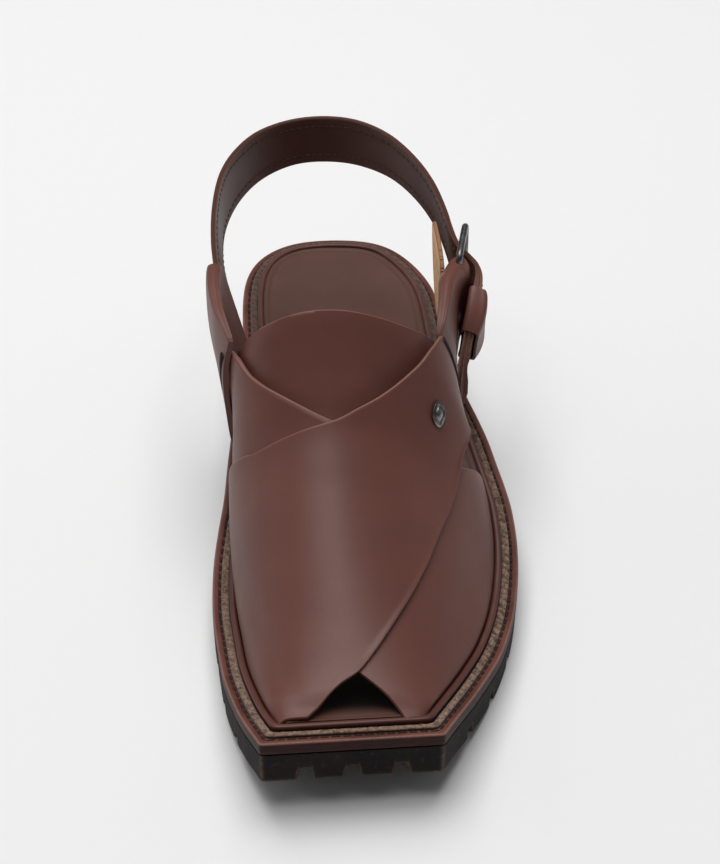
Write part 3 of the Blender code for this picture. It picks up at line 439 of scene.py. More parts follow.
def mitre():
    """Inward normals, the slide that keeps a moved corner sharp, and the turn at each corner."""
    b = unit(np.roll(EDGE, -1, 0) - EDGE)
    a = np.roll(b, 1, 0)
    t = a + b
    t[CORNERS[0]], t[CORNERS[1]] = b[CORNERS[0]], a[CORNERS[1]]
    t = unit(t)
    inward = np.stack([t[:, 1], -t[:, 0]], 1)
    inward *= np.sign((inward * (EDGE.mean(0) - EDGE)).sum())
    slide, turns = np.zeros_like(EDGE), []
    for corner, own in zip(CORNERS, (1.0, -1.0)):
        far = from_corner(corner)
        away = np.where(far > 0, 1.0, -1.0)
        away[corner] = own
        slide += t * (away * np.clip(1 - np.abs(far) / 32.0, 0, 1))[:, None]
        turns.append(np.arccos(np.clip((a[corner] * b[corner]).sum(), -1, 1)))
    return inward, slide, np.where(np.abs(from_corner(CORNERS[1])) < 60, turns[1], turns[0])


NORMAL, SLIDE, TURN = mitre()


def inset(d, toe=None):
    """The outline moved inwards by d, and by `toe` along the toe's edge."""
    d = np.broadcast_to(np.asarray(d, float), (len(EDGE),))
    front = d if toe is None else np.full(len(EDGE), float(toe))
    main, other = np.where(AT_TOE, front, d), np.where(AT_TOE, d, front)
    along = (other - np.cos(TURN) * main) / np.sin(TURN)
    return EDGE + NORMAL * main[:, None] + SLIDE * along[:, None]


def soften(loop, radius):
    """Rounds the loop's toe corners: near them each point becomes a Gaussian mean of its neighbours."""
    if radius <= 0:
        return loop
    reach = int(3 * radius / SPACING)
    k = np.arange(-reach, reach + 1)
    weight = np.exp(-0.5 * (k * SPACING / radius) ** 2)
    weight /= weight.sum()
    wide = np.concatenate([loop[-reach:], loop, loop[:reach]])
    smooth = np.stack([np.convolve(wide[:, i], weight, "valid") for i in (0, 1)], 1)
    near = np.minimum(*(np.abs(from_corner(c)) for c in CORNERS))
    share = 1 - ease((near - 2.2 * radius) / (2 * radius))
    return loop + (smooth - loop) * share[:, None]


print("outline:", len(EDGE), "points,", round(AROUND), "mm round")


# %% [markdown]
# ## Sole pieces as profiles carried round the outline
# The rubber, the welt, the strip and the rim are each one profile, told as inset and height, carried round
# the outline. A ring joins its last row to its first; `deck` closes the middle with a ladder of quads between
# the two sides, for the pieces that lie under the whole foot.


# %% Rings and decks
def rows_of(profile, radius, over=lambda s: 0 * s):
    """Loops of points for rows of inset and height over a line; radius rounds the toe's corners."""
    loops = []
    for d, z in profile:
        line = soften(inset(d), radius)
        s = line[:, 1]
        loops.append(np.concatenate([line, (over(s) + (z(s) if callable(z) else z))[:, None]], 1))
    return np.array(loops)


def both_sides(row):
    """The inner and the outer side of a loop, both from the heel to the toe."""
    return row[:STATIONS][::-1], row[STATIONS + HEEL_STEPS - 1:2 * STATIONS + HEEL_STEPS - 1]


def deck(row):
    """Quads between the two sides of one loop, with a polygon at the heel and one at the toe."""
    left, right = both_sides(row)
    heel = row[STATIONS - 1:STATIONS + HEEL_STEPS]
    toe = np.append(row[CORNERS[1]:], row[0])
    return [net(np.stack([left, right], 1)), [heel.tolist()], [toe.tolist()]]


# %% [markdown]
# ## Rubber outsole
# The tread is cut across the sole's edge, so from the side the rubber's lower edge is notched: small round
# heads along the sides, three tall ones in the toe. The wall is a fine grid whose lower edge follows the
# notches, and the attribute `scuff` marks the lips and corners where the rubber has rubbed pale.

# %% Tread
NOTCHES = (42, 62, 112, 131, 150, 170, 190, 211, 232, 253, 274)
TOE_NOTCHES = (0.24, 0.5, 0.77)


def notch(distance, half, tall):
    """Round-headed notch: full height in its middle, gone at `half` from it."""
    x = np.abs(distance) / half
    return tall * np.clip((1 - x) / 0.22, 0, 1) ** 0.8 * (0.86 + 0.14 * np.clip(1 - x, 0, 1))


def tread():
    """Height that the notches cut into the lower edge at every outline point."""
    cut = np.zeros(len(EDGE))
    s = EDGE[:, 1]
    for spot in NOTCHES:
        tall = np.interp(spot, [40, 110, 180, 250, 280], [2.4, 2.6, 3.8, 5.6, 6.0])
        half = np.interp(spot, [40, 110, 180, 250, 280], [1.6, 1.7, 2.2, 2.7, 2.8])
        slope = np.abs(np.gradient(s, RUN))
        cut = np.maximum(cut, notch((s - spot) / np.maximum(slope, 0.3), half, tall) * ~AT_TOE)
    width = AROUND - RUN[CORNERS[1]]
    for share in TOE_NOTCHES:
        cut = np.maximum(cut, notch(RUN - (AROUND - share * width), 3.3, 6.4))
    return cut


CUT = tread()
WALL_STEPS = 15


def rubber_profile():
    """From the deck under the welt over the lip, down the wall in even shares, and in under the tread."""
    top = lambda s: welt_top(s) - WELT - GAP
    rows = [(9.0, top), (0.35, top), (0.08, lambda s: top(s) - 0.15), (0.0, lambda s: top(s) - 0.5)]
    low = under(EDGE[:, 1]) + CUT
    high = top(EDGE[:, 1]) - 0.5
    for k in range(1, WALL_STEPS + 1):
        t = k / WALL_STEPS
        wave = wobble(RUN / 9.0, (0.10 * t, 1, 0.1), (0.07, 0.37, 0.4))
        rows.append((0.15 * t + wave * t * (1 - t) * 0.8, high + (low + 1.0 - high) * t))
    rows += [(0.45, low + 0.35), (1.1, low + 0.05), (1.8, low)]
    for d, share in ((4.0, 1), (7.0, 1), (9.6, 1), (10.6, 0.0)):
        rows.append((d, under(EDGE[:, 1]) + CUT * share))
    return rows


def scuffs(rows):
    """1 at the notches' lips, along the lower edge and on the toe's upright corners."""
    lip = np.clip(np.abs(np.gradient(CUT, RUN)) / 4, 0, 1)
    corner = np.exp(-(np.minimum(*(np.abs(from_corner(c)) for c in CORNERS)) / 0.9) ** 2)
    marks = np.zeros((len(rows), len(EDGE)))
    for k in range(len(rows)):
        t = (k - 3) / WALL_STEPS
        edge = np.exp(-((t - 1.02) / 0.05) ** 2) * 0.8
        marks[k] = corner * (t > -0.1) + edge + lip * np.clip(t * 3 - 2, 0, 1)
    return np.clip(marks, 0, 1)


def rubber():
    """Black-brown rubber: fine moulding grain, dusty wear on lips and edges."""
    f = Finish("sole_rubber", Specular_IOR_Level=0.15)
    dust, grain, blotch = f.noise(420, 5), f.noise(2400, 4), f.noise(60, 4)
    scuff = f.attribute("scuff")
    worn = (scuff * (dust * 1.6 - 0.15)).clamp()
    colour = f.mix(blotch.step(0.35, 0.7), tone(20, 15, 15), tone(32, 24, 23))
    colour = f.mix((dust.step(0.56, 0.75) * 0.35), colour, tone(74, 62, 58))
    colour = f.mix(worn * 0.75, colour, tone(112, 92, 84))
    return f.done(colour, 0.62 + grain * 0.25 - worn * 0.05, grain * 0.10 + dust * 0.12)


rubber_rows = rubber_profile()
loops = rows_of(rubber_rows, 0.7)
piece("rubber_outsole", loops, tube(loops, deck), rubber(), "rubber_sole", ["outsole"], sharp=60,
      scuff=scuffs(rubber_rows))


# %% [markdown]
# ## Welt
# The welt is a leather layer whose edge shows as the red-brown band. Its top is stitched down all round:
# each stitch sinks into a slot about 3 mm long, 2.9 mm from the edge. The slots are real dips in the mesh,
# and the threads lie in them as small arched rods.

# %% Welt
STITCH, STITCH_IN = 4.2, 2.95
stitches_round = int(AROUND / STITCH)
phase = (RUN / AROUND * stitches_round) % 1.0
SLOT = ease((0.40 - np.abs(phase - 0.5)) / 0.10)


def welt_profile():
    """Inset and height: flat deck, stitch channel, rounded and slightly worn upper edge, upright wall."""
    rows = [(12.0, 0.0), (STRIP_OUT + 0.4, 0.0), (STRIP_OUT + 0.05, 0.0)]
    for d, deep in ((3.45, 0.30), (3.2, 0.8), (2.9, 1.0), (2.65, 0.75), (2.45, 0.25), (2.3, 0.05)):
        rows.append((d, -(0.18 + 0.85 * SLOT) * deep))
    swell = 0.12 * SLOT + wobble(RUN / 13.0, (0.05, 1, 0.2), (0.04, 2.3, 0.6))
    rows += [(1.9, 0.03 + swell * 0.5), (1.4, 0.05 + swell * 0.4), (0.9, 0.02), (0.5, -0.06), (0.22, -0.25),
             (0.06, -0.55), (0.0, -1.0)]
    for k in range(1, 8):
        rows.append((0.05 * math.sin(k * 2.1), -1.0 - (WELT - 1.6) * k / 8))
    return rows + [(0.08, -WELT + 0.3), (0.4, -WELT), (12.0, -WELT)]


def welt_leather():
    """Edge-dressed leather: streaked wall darkened by dressing and painted shade, painted edge highlight,
    painted slot shade.
    """
    f = Finish("welt_leather", Specular_IOR_Level=0.12)
    layers, grain, blotch = f.noise(120, 5, place=f.stretched(9)), f.noise(1400, 4), f.noise(45, 4)
    worn, deep, wall = f.attribute("worn"), f.attribute("dip"), f.attribute("wall")
    colour = f.mix(blotch.step(0.3, 0.7), tone(106, 66, 57), tone(80, 47, 39))
    # The upright wall: dark edge dressing, deepened with painted shade.
    colour = f.mix(wall, colour, f.mix(layers.step(0.2, 0.8), tone(32, 14, 11), tone(60, 29, 23)))
    # Painted highlight: a pale line along the welt's rounded upper edge.
    colour = f.mix((worn * (grain * 1.3)).clamp(), colour, tone(150, 116, 106))
    # Painted shade in the stitch slots.
    colour = f.mix(deep, colour, tone(16, 9, 8))
    return f.done(colour, 0.42 + grain * 0.2 + deep * 0.3, grain * 0.05 + layers * wall * 0.10)


welt_rows = welt_profile()
loops = rows_of(welt_rows, 0.8, welt_top)
depth = welt_top(loops[..., 1]) - loops[..., 2]
insets = np.array([d for d, z in welt_rows])[:, None] + 0 * depth
# Mask of the painted highlight along the welt's rounded upper edge.
worn = np.exp(-((insets - 0.35) / 0.35) ** 2) * (depth < 1.0)
# Mask of the upright wall, dark from dressing and from painted shade.
wall = ease((depth - 0.5) / 0.6) * (insets < 2)
# Mask of the painted shade in the stitch slots.
dip = ease((depth - 0.35) / 0.45) * (insets > 2) * (insets < 3.6)
piece("stitched_welt", loops, tube(loops, deck), welt_leather(), "welt_leather", ["welt"], sharp=80,
      worn=worn, wall=wall, dip=dip)


# %% [markdown]
# ## Threads
# One stitch is a short rod that rises between its two needle holes. All the stitches of a seam are one mesh,
# worked out together: an axis of stitches, an axis of rings along each and an axis round the ring.


# %% Stitch mesh
def stitch_mesh(middle, along, out, length, radius, rise, sink, rings=6, sides=6):
    """Arched rods: centre c + along*L*t/2 + out*(rise*(1 - t*t) - sink*t^4), for t from -1 to 1."""
    t = np.linspace(-1, 1, rings)
    side_way = np.cross(along, out)
    line = (middle[:, None] + along[:, None] * (length / 2 * t)[None, :, None]
            + out[:, None] * (rise * (1 - t ** 2) - sink * t ** 4)[None, :, None])
    a = np.linspace(0, 2 * np.pi, sides, endpoint=False)
    ring = (side_way[:, None, None] * np.cos(a)[None, None, :, None]
            + out[:, None, None] * np.sin(a)[None, None, :, None]) * radius
    verts = line[:, :, None] + ring
    count = len(middle)
    index = np.arange(count * rings * sides).reshape(count, rings, sides)
    nxt = np.roll(index, -1, 2)
    quads = np.stack([index[:, :-1], nxt[:, :-1], nxt[:, 1:], index[:, 1:]], -1).reshape(-1, 4)
    return verts.reshape(-1, 3), [quads, index[:, 0], index[:, -1]]


def along_path(path, out, pitch, start=0.5):
    """Middles, directions and outward normals of stitches spaced evenly on a path."""
    g = np.concatenate([[0], np.cumsum(np.linalg.norm(np.diff(path, axis=0), axis=1))])
    at = np.arange(start * pitch, g[-1] - pitch * 0.4, pitch)
    pick = lambda table, w: np.stack([np.interp(w, g, table[:, k]) for k in range(3)], 1)
    middle, way, up = pick(path, at), unit(pick(path, at + 0.3) - pick(path, at - 0.3)), pick(out, at)
    return middle, way, unit(up - way * (up * way).sum(1, keepdims=True))


def thread(name, colour):
    """Waxed thread with a fine twist."""
    f = Finish(name, Specular_IOR_Level=0.4)
    twist = f.noise(3200, 2)
    return f.done(f.mix(twist, colour, tone(20, 12, 10)), 0.6 + twist * 0.15, twist * 0.06)


DARK_THREAD = thread("dark_thread", tone(24, 14, 12))
line = soften(inset(STITCH_IN), 0.8)
path = np.concatenate([line, (welt_top(line[:, 1]) - 0.62)[:, None]], 1)
centre_at = (np.arange(stitches_round) + 0.5) / stitches_round * AROUND
pick = lambda w: np.stack([np.interp(w % AROUND, RUN, path[:, k], period=AROUND) for k in range(3)], 1)
way = unit(pick(centre_at + 0.6) - pick(centre_at - 0.6))
up = unit(np.cross(way, np.cross([0, 0, 1.0], way)))
stitches = stitch_mesh(pick(centre_at), way, up, 3.0, 0.44, 0.26, 0.5)
piece("welt_stitches", *stitches, DARK_THREAD, "welt_leather")


# %% [markdown]
# ## Knurled strip
# Between the stitches and the upper runs a strip of pale split leather. A toothed wheel has pressed it into
# slanting lobes, sharper along the outer side and nearly flat at the toe, and its fibres stand up a little.


# %% Strip
def strip_profile():
    """A low crowned band; slanting lobes 3.4 mm apart deepen along the outer side."""
    s = EDGE[:, 1]
    outer_side = (np.arange(len(EDGE)) > STATIONS + HEEL_STEPS) & ~AT_TOE
    force = np.where(outer_side, 0.22 + 0.5 * ease((s - 150) / 40) * (1 - ease((s - 245) / 35)), 0.30)
    force = np.where(AT_TOE, 0.12, force)
    rows = []
    drift = wobble(RUN / 21.0, (0.22, 1, 0.0), (0.15, 2.6, 0.3), (0.09, 5.3, 0.8))
    for d, h in ((3.62, GAP), (3.6, 0.7), (3.7, 1.0), (3.95, 1.25), (4.3, 1.38), (4.7, 1.42), (5.1, 1.44),
                 (5.5, 1.42), (5.9, 1.34), (6.2, 1.22), (6.45, 1.0), (6.58, 0.7), (6.6, GAP)):
        lobe = np.sin(2 * np.pi * (RUN / 3.4 + drift + 0.2 * (d - 5.1)))
        rough = wobble(RUN / 1.9 + 1.3 * d, (0.07, 1.0, 0.0), (0.08, 0.37, 0.3), (0.05, 1.7, 0.7))
        rise = np.clip((h - 0.5) / 0.8, 0, 1) * (force * (0.5 * lobe - 0.25 * np.clip(-lobe, 0, 1)) + rough)
        rows.append((d, h + rise))
    return rows


def split_leather():
    """Tan split leather, fibrous: pale on the lobes, dark in the low parts where the wheel has pressed, partly
    painted shade.
    """
    f = Finish("split_leather", Specular_IOR_Level=0.3, Sheen_Weight=0.3)
    fibre, blotch, fine = f.noise(900, 6, 0.7), f.noise(420, 4), f.noise(3000, 2)
    crown, heel = f.attribute("crown"), f.attribute("heel")
    colour = f.mix(blotch.step(0.35, 0.65), tone(126, 98, 80), tone(78, 56, 45))
    colour = f.mix((fibre.step(0.48, 0.6) * 0.55), colour, tone(172, 142, 118))
    # Dark in the low parts: the wheel's pressed valleys and the band's foot, partly painted shade.
    colour = f.mix((1 - crown) * 0.85, colour, tone(46, 32, 26))
    colour = f.mix(heel * (blotch * 0.3 + 0.6), colour, tone(66, 44, 36))
    return f.done(colour, 0.78 + fine * 0.12, fibre * 0.4 + fine * 0.08)


loops = rows_of(strip_profile(), 1.6, welt_top)
rise = loops[..., 2] - welt_top(loops[..., 1])
# Low parts of the strip, darkened in its finish partly as painted shade.
crown = ease((rise - 0.75) / 0.65)
piece("knurled_strip", loops, tube(loops, "joined"), split_leather(), "storm_strip", ["storm_strip"], sharp=80,
      crown=crown, heel=ease((165 - loops[..., 1]) / 70))


# %% [markdown]
# ## Rolled rim and footbed
# A rolled lip of brown leather closes the gap between strip and upper. It bends round the toe's corners in
# an easy curve. Inside it lies the footbed, dished under the heel, with a pressed line along its edge.


# %% Rim
def rim_profile():
    """Upright foot with a half-round head."""
    middle, half = (RIM_OUT + RIM_IN) / 2, (RIM_IN - RIM_OUT) / 2 + 0.25
    rows = [(RIM_OUT, GAP), (RIM_OUT, 1.2)]
    for a in np.linspace(0, math.pi, 9):
        rows.append((middle - half * math.cos(a), RIM_H - 1.1 + 1.1 * math.sin(a)))
    rows += [(RIM_IN, 1.2), (RIM_IN, GAP)]
    return [(d, (lambda s, z=z: z + wobble(s / 17.0, (0.06, 1, 0.3), (0.05, 1.9, 0.8)) * (z > 2)))
            for d, z in rows]


loops = rows_of(rim_profile(), 2.6, welt_top)
piece("rolled_rim", loops, tube(loops, "joined"), STRAP, "rim_leather", ["footbed_rim"], rim=5.0, lining=0.0)


# %% Footbed
INSET_A, INSET_B, OVER, LEATHER = 13.4, 11.9, 1.55, 2.0     # the last's foot lines, the panels' heights
PRESSED = 2.6                                               # from the footbed's edge to its pressed line


def footbed_edge():
    """The footbed reaches the rim at the heel and the upper's inner face under the panels."""
    d = np.where(np.arange(len(EDGE)) < STATIONS + 1, INSET_A - OVER, INSET_B) + GAP + 0.25
    free = RIM_IN + GAP
    return free + (d - free) * ease((EDGE[:, 1] - 150) / 10)


def footbed_top(x, s):
    """Height of the footbed: a bowl 2 mm deep under the heel."""
    r = np.clip(((x - 1.3) / 36) ** 2 + ((s - 46) / 50) ** 2, 0, 1)
    return welt_top(s) + RIM_H - 0.5 - 2.0 * (1 - r) ** 1.5


def lining_leather():
    """Smooth lining leather, a little darker and rougher along its pressed line."""
    f = Finish("footbed_leather", Specular_IOR_Level=0.25)
    cloud, speck, press = f.noise(30, 4), f.noise(1100, 4), f.attribute("pressed")
    colour = f.mix((cloud * 1.6 - 0.3).clamp(), tone(98, 66, 56), tone(82, 54, 45))
    colour = f.mix(speck * 0.18, colour, tone(58, 37, 30))
    colour = f.mix(press, colour, tone(60, 40, 33))
    # Painted shade: the footbed under the forepart goes near black, as in the cavity under the panels.
    colour = f.mix(f.attribute("hidden"), colour, tone(7, 4, 4))
    return f.done(colour, 0.46 + speck * 0.12 + press * 0.12, f.pores(1700) * 0.015 + speck * 0.02)


def footbed():
    """A ladder between the two sides, with a pressed line along the edge all the way round."""
    base = soften(inset(footbed_edge(), RIM_IN + GAP), 2.6)
    left, right = both_sides(base)
    t = (1 - np.cos(np.linspace(0, np.pi, 121))) / 2
    xy = left[:, None] * (1 - t[None, :, None]) + right[:, None] * t[None, :, None]
    gap = np.array([np.linalg.norm(row[:, None] - base[None, ::2], axis=2).min(1) for row in xy])
    dips = 0.45 * np.exp(-(gap / 0.5) ** 2) + 0.22 * np.exp(-((gap - PRESSED) / 0.45) ** 2)
    top = np.concatenate([xy, (footbed_top(xy[..., 0], xy[..., 1]) - dips)[..., None]], -1)
    bottom = np.concatenate([xy, (welt_top(xy[..., 1]) + GAP)[..., None]], -1)
    verts, faces, rim, lining = sheet_of(top, bottom, 0.1, 2)
    press = np.exp(-((gap - PRESSED) / 0.5) ** 2) * 0.22 + 0.06 * (gap < PRESSED - 0.3)
    press = np.concatenate([press.ravel(), press.ravel(), np.zeros(len(verts) - 2 * press.size)])
    # Mask of painted shade for the dark cavity under the panels.
    hidden = ease((verts[:, 1] - 205) / 40) * ease((289 - verts[:, 1]) / 10)
    piece("dished_footbed", verts, faces, lining_leather(), "footbed_leather", ["footbed"],
          pressed=press, hidden=hidden)


footbed()

# %% [markdown]
# ## The last
# A shoe's upper takes its form from a last. Here the last is a family of sections: at each length s two
# quarter curves run from the crest down to the walls, with their roundness given by powers. Points on it are
# told by length and girth share (0 at the outer foot, 1 at the inner foot), so a panel can be drawn flat
# and laid over the last at any height.

# %% Sections of the last
LAST = np.array([
    [100, -46.5, 42.0, -5.0, 175.0, 2.0, 3.8, 7.0],
    [120, -46.3, 43.0, -5.0, 156.0, 2.0, 3.6, 6.2],
    [145, -44.8, 44.2, -6.0, 133.0, 2.0, 3.1, 5.0],
    [158, -43.6, 48.6, -6.0, 121.3, 2.0, 2.25, 4.2],
    [165, -43.2, 54.4, -6.0, 112.0, 1.9, 1.65, 3.7],
    [173, -43.2, 57.2, -6.0, 100.8, 1.8, 1.32, 3.2],
    [186, -43.2, 58.4, -6.0, 85.6, 1.7, 1.15, 2.5],
    [200, -42.8, 57.6, -6.0, 76.5, 1.7, 1.08, 2.1],
    [215, -41.4, 55.2, -5.0, 68.5, 1.7, 1.08, 2.0],
    [230, -39.4, 51.0, -4.0, 61.0, 1.7, 1.10, 1.9],
    [245, -36.4, 45.6, -2.5, 53.8, 1.75, 1.15, 1.8],
    [260, -32.6, 39.2, -0.5, 47.0, 1.8, 1.2, 1.8],
    [275, -27.6, 31.6, 1.5, 41.2, 1.9, 1.3, 1.7],
    [284, -24.0, 26.2, 1.0, 39.0, 2.0, 1.4, 1.6],
    [288, -22.0, 23.4, 0.5, 38.6, 2.0, 1.5, 1.6],
    [291.5, -19.8, 20.5, 0.0, 38.8, 2.0, 1.6, 1.5]])
WALL_IN, WALL_OUT, CREST_X, CREST_Z, POW_P, POW_Q, POW_IN = [curve(LAST[:, 0], LAST[:, i]) for i in range(1, 8)]


def foot_line(d, first, last):
    """x of one side of the outline moved in by d, as a curve over s."""
    line = inset(d, RIM_IN)[first:last]
    line = line[np.argsort(line[:, 1])][::12]
    keep = np.concatenate([[True], np.diff(line[:, 1]) > 0.2]) & (line[:, 1] > 20)
    return curve(line[keep, 1], line[keep, 0])


FOOT_IN = foot_line(INSET_A, 0, STATIONS)
FOOT_OUT = foot_line(INSET_B, STATIONS + HEEL_STEPS, CORNERS[1] + 1)


def sections(s, count=161):
    """x and z of the sections at lengths s: crest + reach*sin, with height (1 - sin^p)^(1/q) between."""
    a, b, c, top, p, q, r = [f(s)[:, None] for f in (WALL_IN, WALL_OUT, CREST_X, CREST_Z, POW_P, POW_Q, POW_IN)]
    low = (welt_top(s) + GAP + RIM_H)[:, None]
    e = np.sin(np.linspace(0, 1, count) * np.pi / 2)[None, :]
    x1 = c + (b - c) * e[:, ::-1]
    z1 = low + (top - low) * np.maximum(1 - e[:, ::-1] ** p, 0) ** (1 / q)
    x2 = c + (a - c) * e[:, 1:]
    z2 = low + (top - low) * np.maximum(1 - e[:, 1:] ** 2, 0) ** (1 / r)
    x, z = np.concatenate([x1, x2], 1), np.concatenate([z1, z2], 1)
    on = np.clip((s[:, None] - 154) / 10, 0, 1)
    to_in, to_out = FOOT_IN(s)[:, None] - a, FOOT_OUT(s)[:, None] - b
    tall = np.where(x < c, 14.0, np.where(to_out > 0, 30.0, 14.0))
    k = np.clip(1 - (z - low) / tall, 0, 1) ** 2
    x = x + k * on * np.where(x < c, np.clip(to_in, -6, 9), np.clip(to_out, -6, 9))
    lean = np.clip(1 - (z - low) / 60, 0, 1) ** 1.3 * 7.5 * (1 - np.clip((s[:, None] - 146) / 20, 0, 1))
    x = np.where(x < c, x + lean, x)
    foot = low - RIM_H
    return np.concatenate([x[:, :1], x, x[:, -1:]], 1), np.concatenate([foot, z, foot], 1)


LENGTHS, SHARES = np.linspace(92, 298, 276), np.linspace(0, 1, 301)


def girth_table():
    """x and z at even girth shares for every length, with one row more on each side for the cubic reading."""
    x, z = sections(LENGTHS)
    g = np.pad(np.cumsum(np.hypot(np.diff(x, axis=1), np.diff(z, axis=1)), 1), ((0, 0), (1, 0)))
    g /= g[:, -1:]
    even = np.array([[np.interp(SHARES, one, a), np.interp(SHARES, one, b)] for one, a, b in zip(g, x, z)])
    even = even.transpose(0, 2, 1)
    for axis in (0, 1):
        a, b, y, z = (np.take(even, [k], axis) for k in (0, 1, -2, -1))
        even = np.concatenate([2 * a - b, even, 2 * z - y], axis)
    return even


TABLE = girth_table()


def read_table(s, v):
    """x and z at any length and girth share, from the sixteen nearest entries."""
    a, b = (s - LENGTHS[0]) / (LENGTHS[1] - LENGTHS[0]), np.clip(v, 0, 1) * (len(SHARES) - 1)
    i, j = np.clip(a.astype(int), 0, len(LENGTHS) - 2), np.clip(b.astype(int), 0, len(SHARES) - 2)
    rows, columns = weights(a - i), weights(b - j)
    return sum((rows[p] * columns[q])[..., None] * TABLE[i + p, j + q] for p in range(4) for q in range(4))


def on_last(s, v, off=0.0):
    """Points over the last raised by off along its normal; at the foot they move sideways only."""
    s, v, off = np.broadcast_arrays(np.asarray(s, float), np.asarray(v, float), np.asarray(off, float))

    def at(s_, v_):
        xz = read_table(s_, v_)
        return np.stack([xz[..., 0], s_, xz[..., 1]], -1)
    p = at(s, v)
    n = unit(np.cross(at(s + 0.8, v) - at(s - 0.8, v), at(s, v + 0.012) - at(s, v - 0.012)))
    middle = np.stack([np.zeros_like(s), s, np.full_like(s, 35.0)], -1)
    n *= np.sign((n * (p - middle)).sum(-1, keepdims=True))
    foot = np.clip((0.06 - np.minimum(v, 1 - v)) / 0.06, 0, 1)
    n[..., 2] *= 1 - foot
    p = p + unit(n) * off[..., None]
    p[..., 2] += foot * (welt_top(p[..., 1]) - welt_top(s))
    return p


print("last: girth table", TABLE.shape)

# %% [markdown]
# ## Crossing panels
# Two panels cross over the forepart. Each is drawn by its free edge and its top edge, in lengths and girth
# shares; its other side is the foot line on the sole. The upper panel runs from the outer top corner to the
# inner toe, and its free edge is also one side of the toe's opening. Creases are set as soft troughs
# where the leather bends in wear.

# %% Panel edges
A_FREE = [(148.5, .287), (147.6, .225), (147.8, .165), (150, .138), (157, .147), (165, .172), (173, .192),
          (179, .198), (186, .205), (197, .225), (210, .256), (225, .285), (239, .32), (254, .368), (262, .40),
          (269, .44), (273.5, .479), (278, .563), (282, .628), (286.5, .705), (290.6, .79)]
A_TOP = [(148.5, .287), (156, .315), (164, .350), (174, .414), (180, .471), (184.5, .524), (186.5, .593),
         (186.5, .64), (185, .70), (181, .75), (172, .864), (168, .929), (166, 1.0)]
B_FREE = [(147, .745), (146, .80), (144.5, .86), (144, .905), (148, .912), (158, .902), (167, .888), (176, .86),
          (187, .82), (200, .785), (212, .75), (228, .714), (241, .679), (255, .62), (265, .55), (272.5, .479),
          (275, .437), (278.7, .362), (283.2, .272), (287.5, .19), (290.6, .14)]
B_TOP = [(147, .745), (155, .715), (162, .69), (170, .65), (179, .585), (184.5, .524), (187.5, .45),
         (187, .38), (184, .30), (180, .23), (175, .165), (169.5, .11), (166.5, .065), (165, 0.0)]
GIRTH = 200.0
HEM_START, HEM_RUN, HEM_DIP = 280.5, 10.5, 3.1     # the hem dips behind the rim at the toe


def on_pattern(table, count):
    """Even points along a table of lengths and girth shares, a whole girth counted as 200 mm."""
    return spline(np.asarray(table, float) * [1, GIRTH], count) / [1, GIRTH]


def trough(s, v, at, way, long, wide, deep):
    """A soft dip round the point `at` (length, share), stretched along the angle `way`."""
    a, b = s - at[0], (v - at[1]) * GIRTH
    along, beside = a * math.cos(way) + b * math.sin(way), b * math.cos(way) - a * math.sin(way)
    return -deep * np.exp(-(along / long) ** 2 - (beside / wide) ** 2)


def panel_grid(free, top, foot, spread, n, m):
    """Lengths and girth shares over a panel, from its free edge to its foot line."""
    a = on_pattern(free, n)
    first, last_s = top[-1][0], free[-1][0]
    u = np.linspace(0, 1, n)
    b = np.stack([first + (last_s - first) * u ** spread, np.full(n, float(foot))], 1)
    share = np.linspace(0, 1, m)
    t = on_pattern(top, share)
    w = share[None, :, None]
    flat = a[:, None] * (1 - w) + b[:, None] * w
    pull = t - (a[0] * (1 - w[0]) + b[0] * w[0])
    flat = flat + np.clip(1 - 1.5 * u, 0, 1)[:, None, None] * pull[None]
    return flat[..., 0], np.clip(flat[..., 1], 0, 1)


# %% Panels
def panel(name, free, top, foot, spread, low, high, waves, proud=0.0):
    """A leather layer between two heights over the last, with its creases; `proud` lifts its free edge."""
    s, v = panel_grid(free, top, foot, spread, 190, 130)
    rise = sum(trough(s, v, *w) for w in waves) * ease(np.minimum(v, 1 - v) / 0.08)
    inward = steps(on_last(s, v, high), 1)
    rise = rise + proud * np.exp(-(inward / 1.6) ** 2) * ease((s - 160) / 12) * ease((272 - s) / 8)
    grids = [on_last(s, v, off + rise) for off in (high, low)]
    for grid in grids:
        grid[..., 2] -= HEM_DIP * ease((grid[..., 1] - HEM_START) / HEM_RUN)
    verts, faces, rim, lining = sheet_of(*grids, 0.35)
    piece(name, verts, faces, UPPER, "upper_leather", ["upper"], sharp=70, rim=rim, lining=lining)


panel("under_panel", B_FREE, B_TOP, 0.0, 0.6, 0.0, LEATHER - 0.05,
      [((236, .12), 0.2, 26, 14, 0.7), ((205, .10), 0.1, 22, 12, 0.5)])
panel("over_panel", A_FREE, A_TOP, 1.0, 0.8, LEATHER + 0.02, OVER + LEATHER,
      [((240, .84), -0.15, 34, 12, 0.8), ((205, .40), 0.9, 22, 9, 0.35)], proud=0.45)

# %% [markdown]
# ## Instep flap
# Behind the crossing lies a flap with an arched edge that runs from one top corner to the other. It is laid
# under the panels on the same last.

# %% Flap
FLAP_EDGE = [(147.5, .27), (150, .30), (155, .364), (157.6, .43), (158.4, .50), (158.2, .55), (157, .607),
             (154.5, .66), (151, .714), (147, .745)]
FLAP_FRONT = [(172, .24), (190, .31), (198, .40), (201, .50), (198, .60), (190, .68), (172, .76)]


